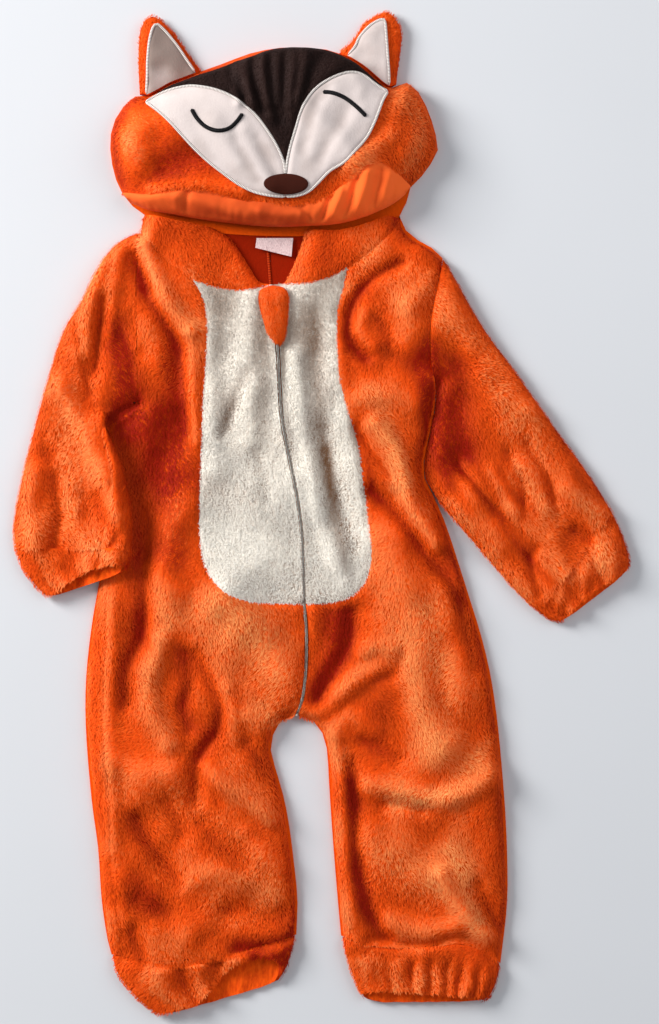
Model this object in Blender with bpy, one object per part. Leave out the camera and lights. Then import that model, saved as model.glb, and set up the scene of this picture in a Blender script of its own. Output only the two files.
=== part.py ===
"""A toddler's fox onesie in plush, laid out flat on its back, face up.

Plan positions are millimetres in the garment's own frame: +X to its left-hand side as it is
looked down on, +Y towards the hood, +Z up from the surface that it lies on.
"""
import math

import bpy
import numpy as np
from mathutils import Vector
from mathutils.geometry import delaunay_2d_cdt

MM = 0.001

# Driving dimensions, millimetres
SEAM_GAP = 0.3  # between two pieces that are sewn together
STACK_GAP = 0.3  # between two layers that lie on each other
BACK_THICK = 3.0  # back panels, their pile pressed flat by the weight
PLUSH_THICK = 7.5  # knit backing and its standing pile
FRONT_TOP = 14.5  # usual height of the front's pile above the surface
EDGE_TOP = 7.0  # height of the front's pile at a side seam
EDGE_ROUND = 24.0  # how far in from a side seam the front reaches its full height
EDGE_CALM = 12.0  # how far in from an edge the folds reach their full height
UNDERSIDE_SHARE = 0.2  # how much of a fold the underside of the plush follows
FOLD_RISE = 1.7  # how strongly the ridges in the tables of folds stand up
FOLD_SINK = 1.6  # and how strongly the troughs sink in
LEAST_FRONT = 5.6  # lowest that the front's pile sinks to
ZIP_SUNK = 2.0  # how far the zip tape lies below the pile beside it
ZIP_THICK = 4.0
HOOD_TOP = 38.0
HOOD_EDGE_TOP = 12.0
HOOD_LEAST = 8.0  # lowest that the hood's upper layer comes at its rim
HOOD_ROUND = 46.0
MOUTH_SHARE = 0.52  # height of the hood's rim, as a share of the dome behind it
MOUTH_ROUND = 46.0
LINING_THICK = 4.0
LINING_GATHERS = 20
LINING_SWELL = 1.3  # height of the lining's gathers
LINING_CALM = 0.35  # share of that height left at the seam
LINING_LOW = 1.0  # how far the lining lies below the hood's own form
CROWN_THICK = 2.6
CHEEK_THICK = 2.2
EYE_WIDTH = 3.6
EYE_THICK = 1.3
NOSE_THICK = 2.6
APPLIQUE_GAP = 0.45
EAR_TOP = 11.0
EAR_EDGE_TOP = 5.0
EAR_ROUND = 16.0
EAR_LEAST = 4.0
EAR_TILTS = {"left": 0.13, "right": -0.03}  # how steeply each ear falls away to the right
EAR_INNER_THICK = 2.0
TAB_THICK = 9.0
TAB_EDGE = 2.0  # the tab's thickness at its edge
TAB_ROUND = 11.0
TAB_CLEAR = 0.6  # between the tab and the front that it lies on
ZIP_WIDTH = 2.6
LABEL_THICK = 0.9
TUBE_HOLLOW = 3.4  # clear height inside a sleeve or cuff
TUBE_LEAST = 0.6  # least clear height, where a tube is thin
TUBE_WALLS = 9.7  # both layers of a tube together
TUBE_WALL_LEAN = 1.5  # how much thicker the upper layer is than the lower
TUBE_ROUND = 20.0  # how far in from its folded edge a tube reaches its full height
TUBE_UNDER_ROUND = 7.0  # and how far in its underside comes down to rest
TUBE_HOLLOW_ROUND = 9.0
TUBE_FOLLOW = 0.35  # share of a tube's length over which it takes up its seam line's form
TUBE_CROWD = 0.4  # how much closer its points stand at the folded edges
CUFF_CORNER = 0.09  # share of a cuff's length that its hem is rounded back by at the edges
CUFF_CORNER_ROUND = 14.0
CASING_SHARE = 0.35  # share of a cuff's length that the groove at its seam takes

SEAM_STEP = 14.0  # spacing of points along a seam
SEAM_CLEAR = 3.4  # between a seam and the loose points near it
FILL_STEP = 25.0  # spacing of points inside a panel
FOLD_STEP = 14.0  # spacing of points along a fold's crest and feet
FOLD_CLEAR = 8.4  # least distance between such points
BACK_STEP = 45.0
EDGE_BANKS = (4.0, 12.0)  # rows of points beside an outer edge, by their distance from it
EDGE_CLEAR = 18.5  # how far from an outer edge the loose points start
HOOD_STEP = 15.5
RUCHE_STEP = 6.0  # spacing of points in the crown's gathers
RUCHE_FOOT = 362.0  # the crown's gathers fade out below this
HOOD_SEAM_POINTS = 67
TUBE_EDGE = 5.5  # thickness of a tube's wall at its folded edges
SEAM_HEIGHT = 5.0  # height of a tube's folded edge
SLEEVE_TOP = 14.5  # a sleeve's thickness, both layers
SLEEVE_CLEAR = 2.0  # between the left sleeve and the side that it lies on
CARRY_FROM = 100.0  # how far up the left sleeve starts to lift over that side
CARRY_RUN = 15.0
CARRY_REACH = 26.0  # how far beside the body the sleeve comes down to the surface again
SEAM_SHIFT = 1.3  # between a tube's end and the panels that it is sewn to
EAR_STAND = (0.0, 0.15)  # a seam allowance between the ear and the hood edge

# Seam lines, as points (x, y) that a smooth curve runs through
ARMHOLE_LEFT = [(-163, 256), (-166, 230), (-167, 190), (-166, 145), (-166, 102)]
SIDE_LEFT = [(-166, 102), (-175, 96), (-183, 91.5), (-190, 86), (-195, 78), (-194, 66), (-190, 52),
             (-187, 36), (-188, 10), (-193, -13), (-200, -54), (-208, -100), (-213, -148),
             (-213, -195), (-208, -256), (-202, -301), (-199, -346), (-194, -380), (-190, -396)]
CASING_LEFT = [(-190, -396), (-150, -401), (-105, -397), (-60, -388), (-23, -378)]
INSEAM_LEFT = [(-24.5, -180.5), (-37, -185), (-44, -198), (-46, -213), (-41, -231), (-34, -256),
               (-29, -283), (-25, -315), (-22, -346), (-23, -378)]
INSEAM_RIGHT = [(-21.5, -180.5), (-10, -184), (-2, -192), (4, -209), (6, -238), (8, -270), (11, -310),
                (14, -346), (17, -379)]
CASING_RIGHT = [(17, -379), (43, -387), (75, -389), (120, -385), (142, -390), (161, -404)]
SIDE_RIGHT = [(99, 21), (111, -6), (128, -58), (147, -121), (157, -175), (164, -247), (167, -301),
              (167, -350), (161, -404)]
ARMHOLE_RIGHT = [(109, 232), (101, 196), (97, 167), (98, 140), (102, 118), (102, 98), (97, 72),
                 (92, 50), (93, 32), (99, 21)]
SHOULDER_RIGHT = [(70, 270), (74, 260), (82, 251), (97, 243), (109, 232)]
SHOULDER_LEFT = [(-163, 256), (-162, 263), (-160, 271)]
CENTRE_UPPER = [(-45, 208), (-44, 180), (-40, 150), (-38.5, 122), (-36, 86), (-29, 50), (-22, 14),
                (-18, -22), (-16, -79)]
CENTRE_LOWER = [(-16, -79), (-14, -112), (-15, -144), (-18, -166), (-23, -180.5)]
BELLY_LEFT = [(-116, 212), (-107, 194), (-104, 167), (-105, 131), (-108, 86), (-110, 32), (-110, -13),
              (-106, -40), (-97, -59), (-83, -71), (-65, -77), (-42, -79), (-17.4, -79)]
BELLY_RIGHT = [(23, 224), (19, 207), (14, 185), (14, 158), (16, 126), (23, 95), (31, 68), (36, 36),
               (41, 5), (45, -27), (43, -49), (34, -66), (20, -75), (3, -78.5), (-14.6, -79)]
NECK_SIDE_LEFT = [(-163, 256), (-141, 232), (-116, 212)]
NECK_BELLY_LEFT = [(-116, 212), (-96, 206), (-74, 203), (-60, 205), (-46.4, 208)]
NECK_BELLY_RIGHT = [(-43.6, 208), (-31, 209), (-11, 210), (9, 216), (23, 224)]
NECK_SIDE_RIGHT = [(23, 224), (40, 236), (56, 249), (66, 260), (70, 270)]
OPENING_LEFT = [(-46.4, 208), (-55, 213), (-64, 227), (-74, 243), (-84, 254), (-98, 262)]
OPENING_RIGHT = [(-43.6, 208), (-35, 212), (-29, 224), (-23, 238), (-19, 250), (-17, 258)]
UNDER_RIM_LEFT = [(-98, 262), (-110, 264), (-132, 267), (-150, 270), (-160, 271)]
UNDER_RIM_RIGHT = [(-17, 258), (-5, 258), (9, 258), (25, 261), (41, 266), (57, 272), (70, 270)]
NECK_BACK = [(-160, 271), (-110, 257), (-50, 252), (10, 254), (70, 270)]
CENTRE_BACK = [(-50, 252), (-46, 200), (-40, 100), (-28, 0), (-18, -100), (-23, -180.5)]

HOOD_EDGE = [(-180, 290), (-187, 306), (-191, 328), (-190, 348), (-184, 362), (-175, 373.5),
             (-166, 379), (-158, 378), (-149, 382.5), (-138, 389), (-123, 395), (-112, 399.5),
             (-104, 402.5), (-87, 408.5), (-66, 416.5), (-42, 421.5), (-20, 422.5), (3, 420.5),
             (14, 417.5), (23, 413.5), (32, 408.5), (41, 402), (50, 394), (57, 388), (63, 386),
             (69, 388.5), (76, 390.5), (83, 386.5), (90, 377.5), (97, 362), (102, 346), (105, 332),
             (100, 320), (90, 306), (80, 296)]
HOOD_SEAM = [(-180, 290), (-155, 287), (-132, 291), (-110, 291), (-87, 286), (-60, 280), (-33, 278),
             (-9, 280), (9, 287), (24, 300), (39, 311), (54, 314), (67, 306), (80, 296)]
HOOD_RIM = [(-172, 281), (-155, 274), (-132, 270), (-110, 266), (-87, 263), (-60, 260), (-33, 259),
            (-9, 260), (9, 261), (25, 264), (41, 269), (57, 276), (67, 282), (75, 289)]
HOOD_LOW_LEFT = [(-180, 290), (-171, 279), (-160, 271)]
HOOD_LOW_RIGHT = [(80, 296), (77, 284), (70, 270)]
CROWN_TOP = [(-157.4, 368.9), (-148, 377.2), (-137, 383.9), (-122, 389.8), (-110, 394), (-97, 398),
             (-87, 401.5), (-75.5, 406), (-64, 409.5), (-56, 413), (-44.5, 417), (-28.5, 418.8),
             (-12, 418.6), (1, 417), (11.5, 414), (21, 409.8), (30, 405), (38, 398.3), (44.5, 392.7),
             (50, 387.5), (55, 383.3), (59.2, 378.7)]
CHEEK_LEFT_UPPER = [(-157.4, 368.9), (-147.4, 375.1), (-135.4, 379.9), (-121.7, 382.7),
                    (-111.3, 382.5), (-96.2, 379.4), (-81.4, 373.3), (-69.9, 365.1), (-59.2, 356.2),
                    (-49.3, 343.3), (-40.2, 328.6), (-34.3, 314.8), (-32.3, 303)]
CHEEK_LEFT_LOWER = [(-157.4, 368.9), (-145.9, 359.9), (-135.3, 350), (-124.8, 338.4),
                    (-112.9, 325.5), (-100.2, 313.7), (-86.4, 303), (-73.7, 294.1), (-61.9, 288.2),
                    (-52.1, 285.3), (-43.1, 283.8), (-32.3, 283.4)]
CHEEK_MEETING = [(-32.3, 303), (-32.3, 283.4)]
CHEEK_RIGHT_UPPER = [(-32.3, 303), (-30.4, 316.8), (-27.4, 330.5), (-23.5, 343.3), (-19.6, 356.1),
                     (-13.8, 368.6), (-5.4, 379.6), (6, 387.8), (19.9, 394), (30.9, 395),
                     (38.9, 391.9), (45.3, 387), (51.8, 382.5), (59.2, 378.7)]
CHEEK_RIGHT_LOWER = [(-32.3, 283.4), (-21.5, 284.4), (-11.6, 288.2), (-2.8, 296.1), (7, 306),
                     (19.7, 313.8), (28.6, 322.6), (39.4, 335.4), (46, 347.8), (50.6, 359.6),
                     (54.7, 370.6), (59.2, 378.7)]
EYE_LEFT = [(-116, 361.3), (-110.5, 352.2), (-102.7, 344.7), (-92.9, 341.3), (-83, 343.2),
            (-75.1, 350.2), (-70.2, 357.1)]
EYE_RIGHT = [(0.6, 376.4), (10, 375.1), (19.9, 371.2), (29.3, 364.3), (39.5, 354.3)]
NOSE_CENTRE = (-31.8, 294.3)
NOSE_HALF = (19.8, 9.2)
TAB_OUTLINE = [(-56.5, 202.5), (-52, 205.5), (-46, 207), (-39, 206.8), (-33, 204.5), (-29.6, 198.5),
               (-29.6, 186), (-30.8, 171.5), (-32.8, 160), (-35.4, 153.6), (-39.6, 152.2),
               (-44.8, 156.8), (-49.6, 163.8), (-53, 174.5), (-56.4, 186), (-57.8, 195)]
LABEL_OUTLINE = [(-59, 250), (-26, 250), (-27.5, 233), (-60, 241)]

EAR_LEFT = [(-166, 379.3), (-167, 400), (-167, 419), (-165.6, 436), (-161, 447), (-152.5, 450.5),
            (-143.5, 447.5), (-132.5, 436), (-120.5, 419.5), (-107.5, 401.3)]
EAR_LEFT_INNER = [(-157.8, 378.2), (-157, 395), (-156.6, 411), (-154.5, 429.5), (-150, 441.3),
                  (-143, 437.8), (-130.8, 423.5), (-121, 409), (-114, 398.9)]
EAR_RIGHT = [(14, 417.7), (26.5, 429.5), (36.5, 444.5), (48.5, 452), (58, 455), (65.5, 451),
             (72, 441), (73.5, 430), (72.5, 418), (70.5, 403), (69, 388.7)]
EAR_RIGHT_INNER = [(23, 413.7), (29.5, 421.5), (34.2, 431), (43, 440.5), (53, 446), (56.5, 444),
                   (58, 429), (59.3, 411), (60.2, 398), (60.6, 386.5)]

# Sleeves and cuffs, a row for each section: outer edge (x, y), inner edge (x, y)
SLEEVE_LEFT = [(-163, 256, -166, 102), (-180, 249, -176, 98), (-194, 236, -186, 94),
               (-206, 216, -193, 89), (-217, 194, -194, 82), (-230, 174, -192, 74),
               (-238, 155, -188, 66), (-246, 129, -183, 55), (-254, 102, -178, 42),
               (-262, 72, -174, 26), (-269, 44, -171, 10), (-275, 16, -169, -7),
               (-279, -10, -169, -20), (-277, -30, -170, -29)]
CUFF_LEFT = [(-277, -30, -170, -29), (-273, -43, -170, -34), (-266, -55, -171, -39),
             (-257, -66, -173, -44), (-248, -75, -177, -51)]
SLEEVE_RIGHT = [(109, 232, 99, 21), (122, 210, 106, 10), (135, 187, 117, -3), (151, 162, 130, -18),
                (171, 135, 142, -32), (191, 107, 154, -46), (212, 77, 166, -60), (232, 50, 177, -72),
                (248, 27, 186, -81), (262, 4, 194, -87)]
CUFF_RIGHT = [(262, 4, 194, -87), (269, -11, 200, -92), (275, -27, 206, -95), (278, -40, 211, -96),
              (277, -50, 217, -96)]
LEG_CUFF_LEFT = [(-190, -396, -23, -378), (-186, -411, -25, -388), (-176, -426, -28, -399),
                 (-162, -440, -33, -411), (-146, -452, -40, -421)]
LEG_CUFF_RIGHT = [(161, -404, 17, -379), (160, -413, 20, -394), (157, -424, 25, -410),
                  (152, -433, 31, -425), (144, -438, 40, -439)]

# Folds of the front: points (x, y) that the fold runs through, half width, height
BODY_FOLDS = [
    ((-162, 252), (-153, 228), (-139, 194), (-121, 169), 9, 4.5),  # roll from the shoulder to the belly
    ((-117, 162), (-116, 117), (-114, 68), 7, 3.6),  # standing edge beside the belly
    ((-184, 239), (-187, 203), (-182, 171), (-167, 153), 6, 3),
    ((-165, 235), (-158, 216), (-155, 205), 6, -3),
    ((-191, 167), (-189, 144), (-184, 118), 11, -4.6),
    ((-155, 167), (-144, 138), (-135, 104), 12, 1.6),
    ((-131, 147), (-135, 93), (-144, 34), 15, -4),  # sunk side beside the sleeve
    ((-182, 93), (-166, 41), (-157, -27), 17, -4.6),
    ((-119, 10), (-133, -13), (-140, -49), (-131, -94), 15, 3),
    ((-160, -40), (-158, -76), (-164, -112), (-176, -137), (-176, -168), 8.5, -4.4),
    ((-189, -76), (-189, -130), (-191, -202), (-188, -301), 8, 2.4),  # roll of the side seam
    ((-144, -112), (-154, -144), (-153, -173), (-137, -204), 9, 4.2),
    ((-122, -123), (-118, -150), (-125, -173), (-120, -191), 7, -3.4),
    ((-112, -125), (-97, -153), (-90, -171), (-95, -195),
     (-108, -213), (-112, -234), (-112, -256), 7, -4.8),
    ((-86, -155), (-81, -177), (-77, -200), 7, 3),
    ((-90, -76), (-54, -103), (-32, -141), 16, 3.6),
    ((-65, -180), (-50, -188), (-41, -186), 9, 3),
    ((-104, -225), (-88, -240), (-68, -252), (-43, -272), 7.5, 4.8),
    ((-67, -204), (-54, -222), (-38, -243), 8, -3),
    ((-182, -225), (-158, -234), (-137, -229), 13, 2.6),
    ((-167, -272), (-155, -292), (-141, -310), (-126, -326), 8, -5),
    ((-139, -256), (-131, -272), (-126, -285), 8, -2.4),
    ((-106, -276), (-92, -292), (-70, -315), 10, -3.2),
    ((-68, -285), (-54, -301), (-38, -314), 9, 2.8),
    ((-119, -328), (-94, -321), (-74, -326), 11, 2.2),
    ((-166, -346), (-155, -353), (-140, -359), 10, -3.2),
    ((-171, -373), (-162, -391), (-158, -407), 7, -3.8),
    ((-81, -355), (-54, -360), (-27, -357), 12, -3.6),
    ((-77, -389), (-54, -386), (-29, -382), 6, -3),
    ((-119, -377), (-104, -366), (-77, -369), 10, 1.6),
    ((72, 228), (49, 216), (32, 198), (25, 178), (26, 158), (40, 142), 6, -5.2),  # crease of the right chest
    ((112, 223), (114, 203), (112, 181), 6, -4.6),
    ((38, 183), (36, 167), (47, 154), 6, 2.6),
    ((77, 194), (83, 174), (77, 156), 14, 2.8),
    ((97, 216), (90, 201), (79, 189), 9, 2),
    ((52, 178), (59, 169), (63, 158), 6, -2.2),
    ((67, 147), (85, 136), (101, 135), 9, -2.8),
    ((36, 106), (59, 109), (85, 100), 10, 2),
    ((47, 82), (65, 61), (74, 34), (83, 7), (103, -22), 9, 5.2),  # fold that stands along the right side
    ((32, 81), (47, 57), (63, 37), 5, -3.4),
    ((45, 21), (63, 9), (79, -9), (95, -33), (113, -56), (127, -80), 7.5, -6),
    ((126, -76), (133, -105), (140, -137), 7, -3),
    ((45, 27), (56, 21), (67, 19), 5, -2),
    ((59, -22), (76, -58), (88, -112), (92, -166), (106, -213), 17, 4),
    ((27, -87), (25, -114), (9, -141), (-1, -166), 9, -5.2),  # hollow above the crotch
    ((7, -87), (0, -112), (-7, -132), 8, -2.4),
    ((38, -121), (50, -116), (63, -121), 8, 2.6),
    ((-13, -182), (7, -168), (27, -150), (49, -137), 8, 4),
    ((52, -144), (65, -143), (72, -123), 6, -3),
    ((2, -200), (13, -191), (27, -180), (45, -193), 8, 2.2),
    ((40, -202), (54, -209), (70, -218), 7, -3.2),
    ((110, -148), (117, -171), (133, -191), 10, -2.2),
    ((43, -242), (74, -247), (103, -254), (128, -249), (155, -231), 9, 4.6),  # crease across the right knee
    ((58, -258), (72, -260), (90, -266), 5, -4),
    ((117, -206), (133, -218), (148, -225), 13, 2.6),
    ((28, -224), (32, -256), (32, -294), (40, -332), (45, -357), (58, -378), 8, -4.6),
    ((13, -198), (18, -247), (22, -301), (25, -364), 6, 2.6),
    ((74, -272), (88, -301), (103, -324), 16, 1.8),
    ((106, -321), (121, -346), (137, -366), (151, -377), 7, 5.2),
    ((139, -332), (149, -350), (158, -368), 7, -4.4),
    ((63, -366), (90, -373), (117, -371), 10, 3.4),  # leg bagging over its casing
    ((45, -380), (72, -385), (99, -384), (126, -380), (157, -400), 5, -5.6),  # groove of that casing
    ((-67, 129), (-74, 108), (-83, 88), (-90, 73), 6, -2.6),
    ((-104, 167), (-99, 104), (-97, 41), 10, 2),
    ((-63, 194), (-67, 140), (-63, 68), 11, 2.2),
    ((-58, 57), (-54, 43), (-49, 14), 6, -1.6),
    ((-5, 183), (-3, 131), (1, 86), (9, 43), (18, 8), (29, -27), 7.5, -5),  # hollow beside the placket
    ((-23, 143), (-18, 86), (-10, 41), (-2, -4), (10, -36), (20, -58), 6.5, 2.8),
    ((14, 167), (20, 104), (29, 50), (38, 9), 8, 1.8),
    ((-45, 205), (-37, 158), (-35, 95), (-25, 32), (-17, -40), (-16, -79),
     4.5, -3.2),  # the zip draws the belly in
    ((-16, -79), (-14, -112), (-15, -148), (-22, -176), 5, -4),
    ((-65, -4), (-76, -58), (-81, -112), 34, 2.4),  # full lower belly
    ((112, -67), (121, -130), (124, -193), 14, 2.4),
    ((117, -301), (128, -337), (133, -360), 16, 2),
]
SLEEVE_LEFT_FOLDS = [
    ((-203, 228), (-207, 185), (-214, 149), 10, 3.6),
    ((-180, 237), (-189, 194), (-191, 167), 7, 3),
    ((-196, 194), (-202, 158), (-203, 129), 6, -4.6),
    ((-220, 171), (-214, 144), (-207, 111), 5, -3.4),
    ((-234, 117), (-214, 79), (-196, 36), (-180, 1), 9, 3.6),
    ((-247, 97), (-239, 82), (-230, 77), 8, -1.4),
    ((-250, 73), (-248, 59), (-243, 54), 7, -2),
    ((-238, 34), (-236, 3), (-241, -22), (-234, -45), 7, -3.8),
    ((-198, 19), (-194, 0), (-182, -15), (-189, -29), 6, -3.8),
    ((-259, 41), (-263, 5), (-256, -29), 9, 2.4),
    ((-220, 5), (-214, -22), (-207, -36), 9, 2.8),
]
SLEEVE_RIGHT_FOLDS = [
    ((104, 120), (95, 77), (94, 41), (106, 3), 9, -6.5),  # sunk where it passes under the body's edge
    ((130, 129), (122, 93), (126, 59), 17, -3.4),
    ((112, 194), (126, 167), (133, 149), 10, 2.2),
    ((121, 48), (144, 21), (171, -6), (194, -29), 4, -3.6),  # underarm seam
    ((133, 25), (146, 0), (160, -26), 10, 2.2),
    ((112, 3), (130, -13), (144, -29), 5, -2.6),
    ((153, 41), (164, 25), (175, 5), 6, 3.2),
    ((178, 45), (193, 32), (202, 7), 6, 3.2),
    ((167, 59), (182, 28), (182, 7), 4, -2.6),
    ((185, 66), (203, 37), (209, 14), 4.5, -3.2),
    ((166, 106), (176, 100), (187, 95), 9, 2),
    ((196, 122), (216, 77), (234, 34), (252, 16), 6, -2.8),
    ((220, 25), (236, 14), (256, 3), 9, 3),
    ((227, -13), (241, -22), (259, -36), 6, -3.8),
    ((187, -36), (191, -54), (196, -69), 6, -3.6),
    ((207, -22), (216, -45), (227, -58), 8, 2.6),
]
HOOD_FOLDS = [
    ((-77, 410), (-76, 390), (-74, 366), 3.5, 1.8),
    ((-66, 414), (-65, 390), (-62, 364), 3.5, 1.8),
    ((-53, 418), (-52, 394), (-48, 366), 3.5, 1.8),
    ((-41, 420), (-41, 396), (-40, 366), 3.5, 1.8),
    ((-27, 420), (-27, 396), (-30, 364), 3.5, 1.8),
    ((-13, 419), (-15, 398), (-20, 370), 3.5, 1.8),
    ((-96, 346), (-75, 320), (-47, 292), 11, 2.5),
    ((-19, 366), (12, 338), (38, 310), 10, 2.5),
    ((-165, 355), (-168, 330), (-166, 305), 15, 3.0),
]

# Gathers of the cuffs: share of the way across from the outer edge, half width as a share, height
GATHERS = {
    "sleeve_left": [(0.16, 0.05, -2.4), (0.33, 0.05, 2.2), (0.48, 0.045, -2.8), (0.62, 0.05, 2.4),
                    (0.76, 0.04, -2.4), (0.88, 0.04, 1.6)],
    "sleeve_right": [(0.1, 0.04, -2.0), (0.24, 0.05, 2.4), (0.37, 0.035, -3.0), (0.52, 0.05, 2.2),
                     (0.66, 0.04, -2.6), (0.78, 0.04, 2.0), (0.89, 0.03, -1.8)],
    "leg_left": [(0.11, 0.04, -2.0), (0.24, 0.05, 2.6), (0.35, 0.045, -4.4), (0.45, 0.04, 3.6),
                 (0.57, 0.045, -3.6), (0.68, 0.04, 2.0), (0.8, 0.04, -2.4), (0.91, 0.03, 1.6)],
    "leg_right": [(0.05, 0.025, -2.0), (0.13, 0.03, -3.4), (0.19, 0.028, 2.4), (0.25, 0.026, -3.0),
                  (0.34, 0.026, -2.4), (0.39, 0.026, 2.0), (0.46, 0.028, -3.4), (0.52, 0.028, 2.4),
                  (0.58, 0.03, -3.2), (0.66, 0.04, 2.2), (0.73, 0.03, -2.6), (0.86, 0.05, 2.2)],
}
# How deep the groove at each cuff's seam is, and how far its upper layer is drawn back from the
# hem: the least share, the most, and the shares across between which it grows
CASING_GROOVES = {"sleeve_left": 0.6, "sleeve_right": 3.0, "leg_left": 3.0, "leg_right": 5.5}
LIPS = {
    "sleeve_left": (0.05, 0.50, 0.0, 0.9),
    "sleeve_right": (0.16, 0.16, 0.0, 1.0),
    "leg_left": (0.06, 0.70, 0.3, 0.75),
    "leg_right": (0.24, 0.24, 0.0, 1.0),
}

ORANGE = (0.86, 0.105, 0.012)
CREAM = (0.72, 0.67, 0.56)
WHITE = (0.74, 0.69, 0.67)
BROWN = (0.030, 0.014, 0.010)
NOSE_BROWN = (0.085, 0.026, 0.014)
BLACK = (0.010, 0.010, 0.012)
JERSEY = (0.88, 0.13, 0.016)
ZIP_GREY = (0.20, 0.17, 0.15)
LABEL_PINK = (0.74, 0.55, 0.54)


OUTER_EDGES = ("side_left", "inseam_left", "inseam_right", "side_right", "edge_fold",
               "shoulder_right", "opening_left", "opening_right", "shoulder_left")
lines = {}  # each seam's sampled points by name


def curve(points, step=SEAM_STEP, count=None):
    """Even points about `step` apart on a Catmull-Rom curve through the listed ones."""
    p = np.array(points, float)
    ends = np.vstack([2 * p[0] - p[1], p, 2 * p[-1] - p[-2]])
    t = np.linspace(0, 1, 16, endpoint=False)[:, None]
    runs = []
    for a, b, c, d in zip(ends[:-3], ends[1:-2], ends[2:-1], ends[3:]):
        bend = (2 * a - 5 * b + 4 * c - d) * t**2 + (3 * b - 3 * c + d - a) * t**3
        runs.append(0.5 * (2 * b + (c - a) * t + bend))
    dense = np.vstack(runs + [p[-1:]])
    length = np.r_[0, np.cumsum(np.linalg.norm(np.diff(dense[:, :2], axis=0), axis=1))]
    count = count or max(2, round(length[-1] / step) + 1)
    at = np.linspace(0, length[-1], count)
    return np.column_stack([np.interp(at, length, dense[:, k]) for k in range(p.shape[1])])


def distance(at, line):
    """Distance in plan from each point of `at` to a line of points."""
    a, b = line[:-1], line[1:]
    along = b - a
    share = ((at[:, None] - a) * along).sum(2) / (along**2).sum(1)
    nearest = a + np.clip(share, 0, 1)[:, :, None] * along
    return np.linalg.norm(at[:, None] - nearest, axis=2).min(1)


def inside(at, loop):
    """Which points of `at` lie inside a closed loop of points."""
    a, b = loop, np.roll(loop, -1, axis=0)
    x, y = at[:, :1], at[:, 1:]
    spans = (a[:, 1] > y) != (b[:, 1] > y)
    with np.errstate(divide="ignore", invalid="ignore"):
        cross = a[:, 0] + (y - a[:, 1]) / (b[:, 1] - a[:, 1]) * (b[:, 0] - a[:, 0])
    return (spans & (x < cross)).sum(1) % 2 == 1


def quarter(share):
    """Quarter circle from 0 at share 0 to 1 at share 1 and beyond."""
    return np.sqrt(1 - (1 - np.clip(share, 0, 1)) ** 2)


def ease(share):
    """Smooth step from 0 to 1."""
    s = np.clip(share, 0, 1)
    return s * s * (3 - 2 * s)


def folds(at, table):
    """Sum of the folds in a table: a round ridge or trough about each fold's own curve."""
    total = np.zeros(len(at))
    for *points, width, height in table:
        line = curve(points, 10)
        height = height * (FOLD_RISE if height > 0 else FOLD_SINK)
        total += height * np.exp(-((distance(at, line) / width) ** 2))
    return total


def loop(*lines):
    """One closed loop from lines laid end to end; a line that starts at the far end is turned."""
    points = [lines[0]]
    for line in lines[1:]:
        here = points[-1][-1]
        if np.linalg.norm(line[0] - here) > np.linalg.norm(line[-1] - here):
            line = line[::-1]
        points.append(line)
    whole = np.vstack(points)
    keep = np.linalg.norm(whole - np.roll(whole, 1, axis=0), axis=1) > 0.05
    return whole[keep]


def lattice(area, lines, step, clear):
    """Points of a triangular lattice inside `area`, at least `clear` from every line."""
    low, high = area.min(0), area.max(0)
    rows = np.arange(low[1], high[1], step * math.sqrt(3) / 2)
    columns = np.arange(low[0], high[0], step)
    x, y = np.meshgrid(columns, rows)
    x = x + np.where(np.arange(len(rows)) % 2, step / 2, 0)[:, None]
    at = np.column_stack([x.ravel(), y.ravel()])
    at = at[inside(at, area)]
    return at[np.min([distance(at, line) for line in lines], axis=0) > clear]


def banks(lines, area, offsets, clear):
    """Points beside the outer lines, inside `area`, to carry the round of an edge."""
    found = []
    for line in lines:
        along = np.gradient(line, axis=0)
        across = np.column_stack([-along[:, 1], along[:, 0]])
        across /= np.linalg.norm(across, axis=1)[:, None]
        for offset in offsets:
            for side in (-1, 1):
                at = line + side * offset * across
                at = at[inside(at, area)]
                near = np.min([distance(at, other) for other in lines], axis=0) if len(at) else at[:, 0]
                found.append(at[near > 0.9 * offset])
    at = np.vstack(found)
    kept = []
    for point in at:
        if all(np.hypot(*(point - other)) > clear for other in kept):
            kept.append(point)
    return np.array(kept)


def apart_from(points, others, clear):
    """The points that stand at least `clear` away from every one of the others."""
    far = [np.min(np.linalg.norm(others - point, axis=1)) > clear for point in points]
    return points[np.array(far)]


def fold_points(table, area, seams, taken):
    """Points along each fold's crest and both its feet, so that the net carries its form."""
    found = []
    for *points, width, height in table:
        line = curve(points, FOLD_STEP)
        along = np.gradient(line, axis=0)
        across = np.column_stack([-along[:, 1], along[:, 0]])
        across *= width / np.linalg.norm(across, axis=1)[:, None]
        found += [line, line + across, line - across]
    at = np.vstack(found)
    at = at[inside(at, area)]
    at = at[np.min([distance(at, line) for line in seams], axis=0) > 0.6 * FOLD_CLEAR]
    kept = list(taken)
    for point in at:
        if np.min(np.linalg.norm(np.array(kept) - point, axis=1)) > FOLD_CLEAR:
            kept.append(point)
    return np.array(kept[len(taken):])


def triangulate(lines, fill):
    """Triangles over all points, with every line kept as edges. Returns points and triangles."""
    points, edges = [], []
    for line in lines:
        start = len(points)
        points += [Vector(p) for p in line]
        edges += [(start + k, start + k + 1) for k in range(len(line) - 1)]
    points += [Vector(p) for p in fill]
    made = delaunay_2d_cdt(points, edges, [], 0, 0.02)
    at = np.array([tuple(p) for p in made[0]])
    faces = np.array([tuple(f) for f in made[2]])
    a, b, c = (at[faces[:, k]] for k in range(3))
    turn = (b[:, 0] - a[:, 0]) * (c[:, 1] - a[:, 1]) - (b[:, 1] - a[:, 1]) * (c[:, 0] - a[:, 0])
    faces[turn < 0] = faces[turn < 0][:, ::-1]
    return at, faces[np.abs(turn) > 0.01]


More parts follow.
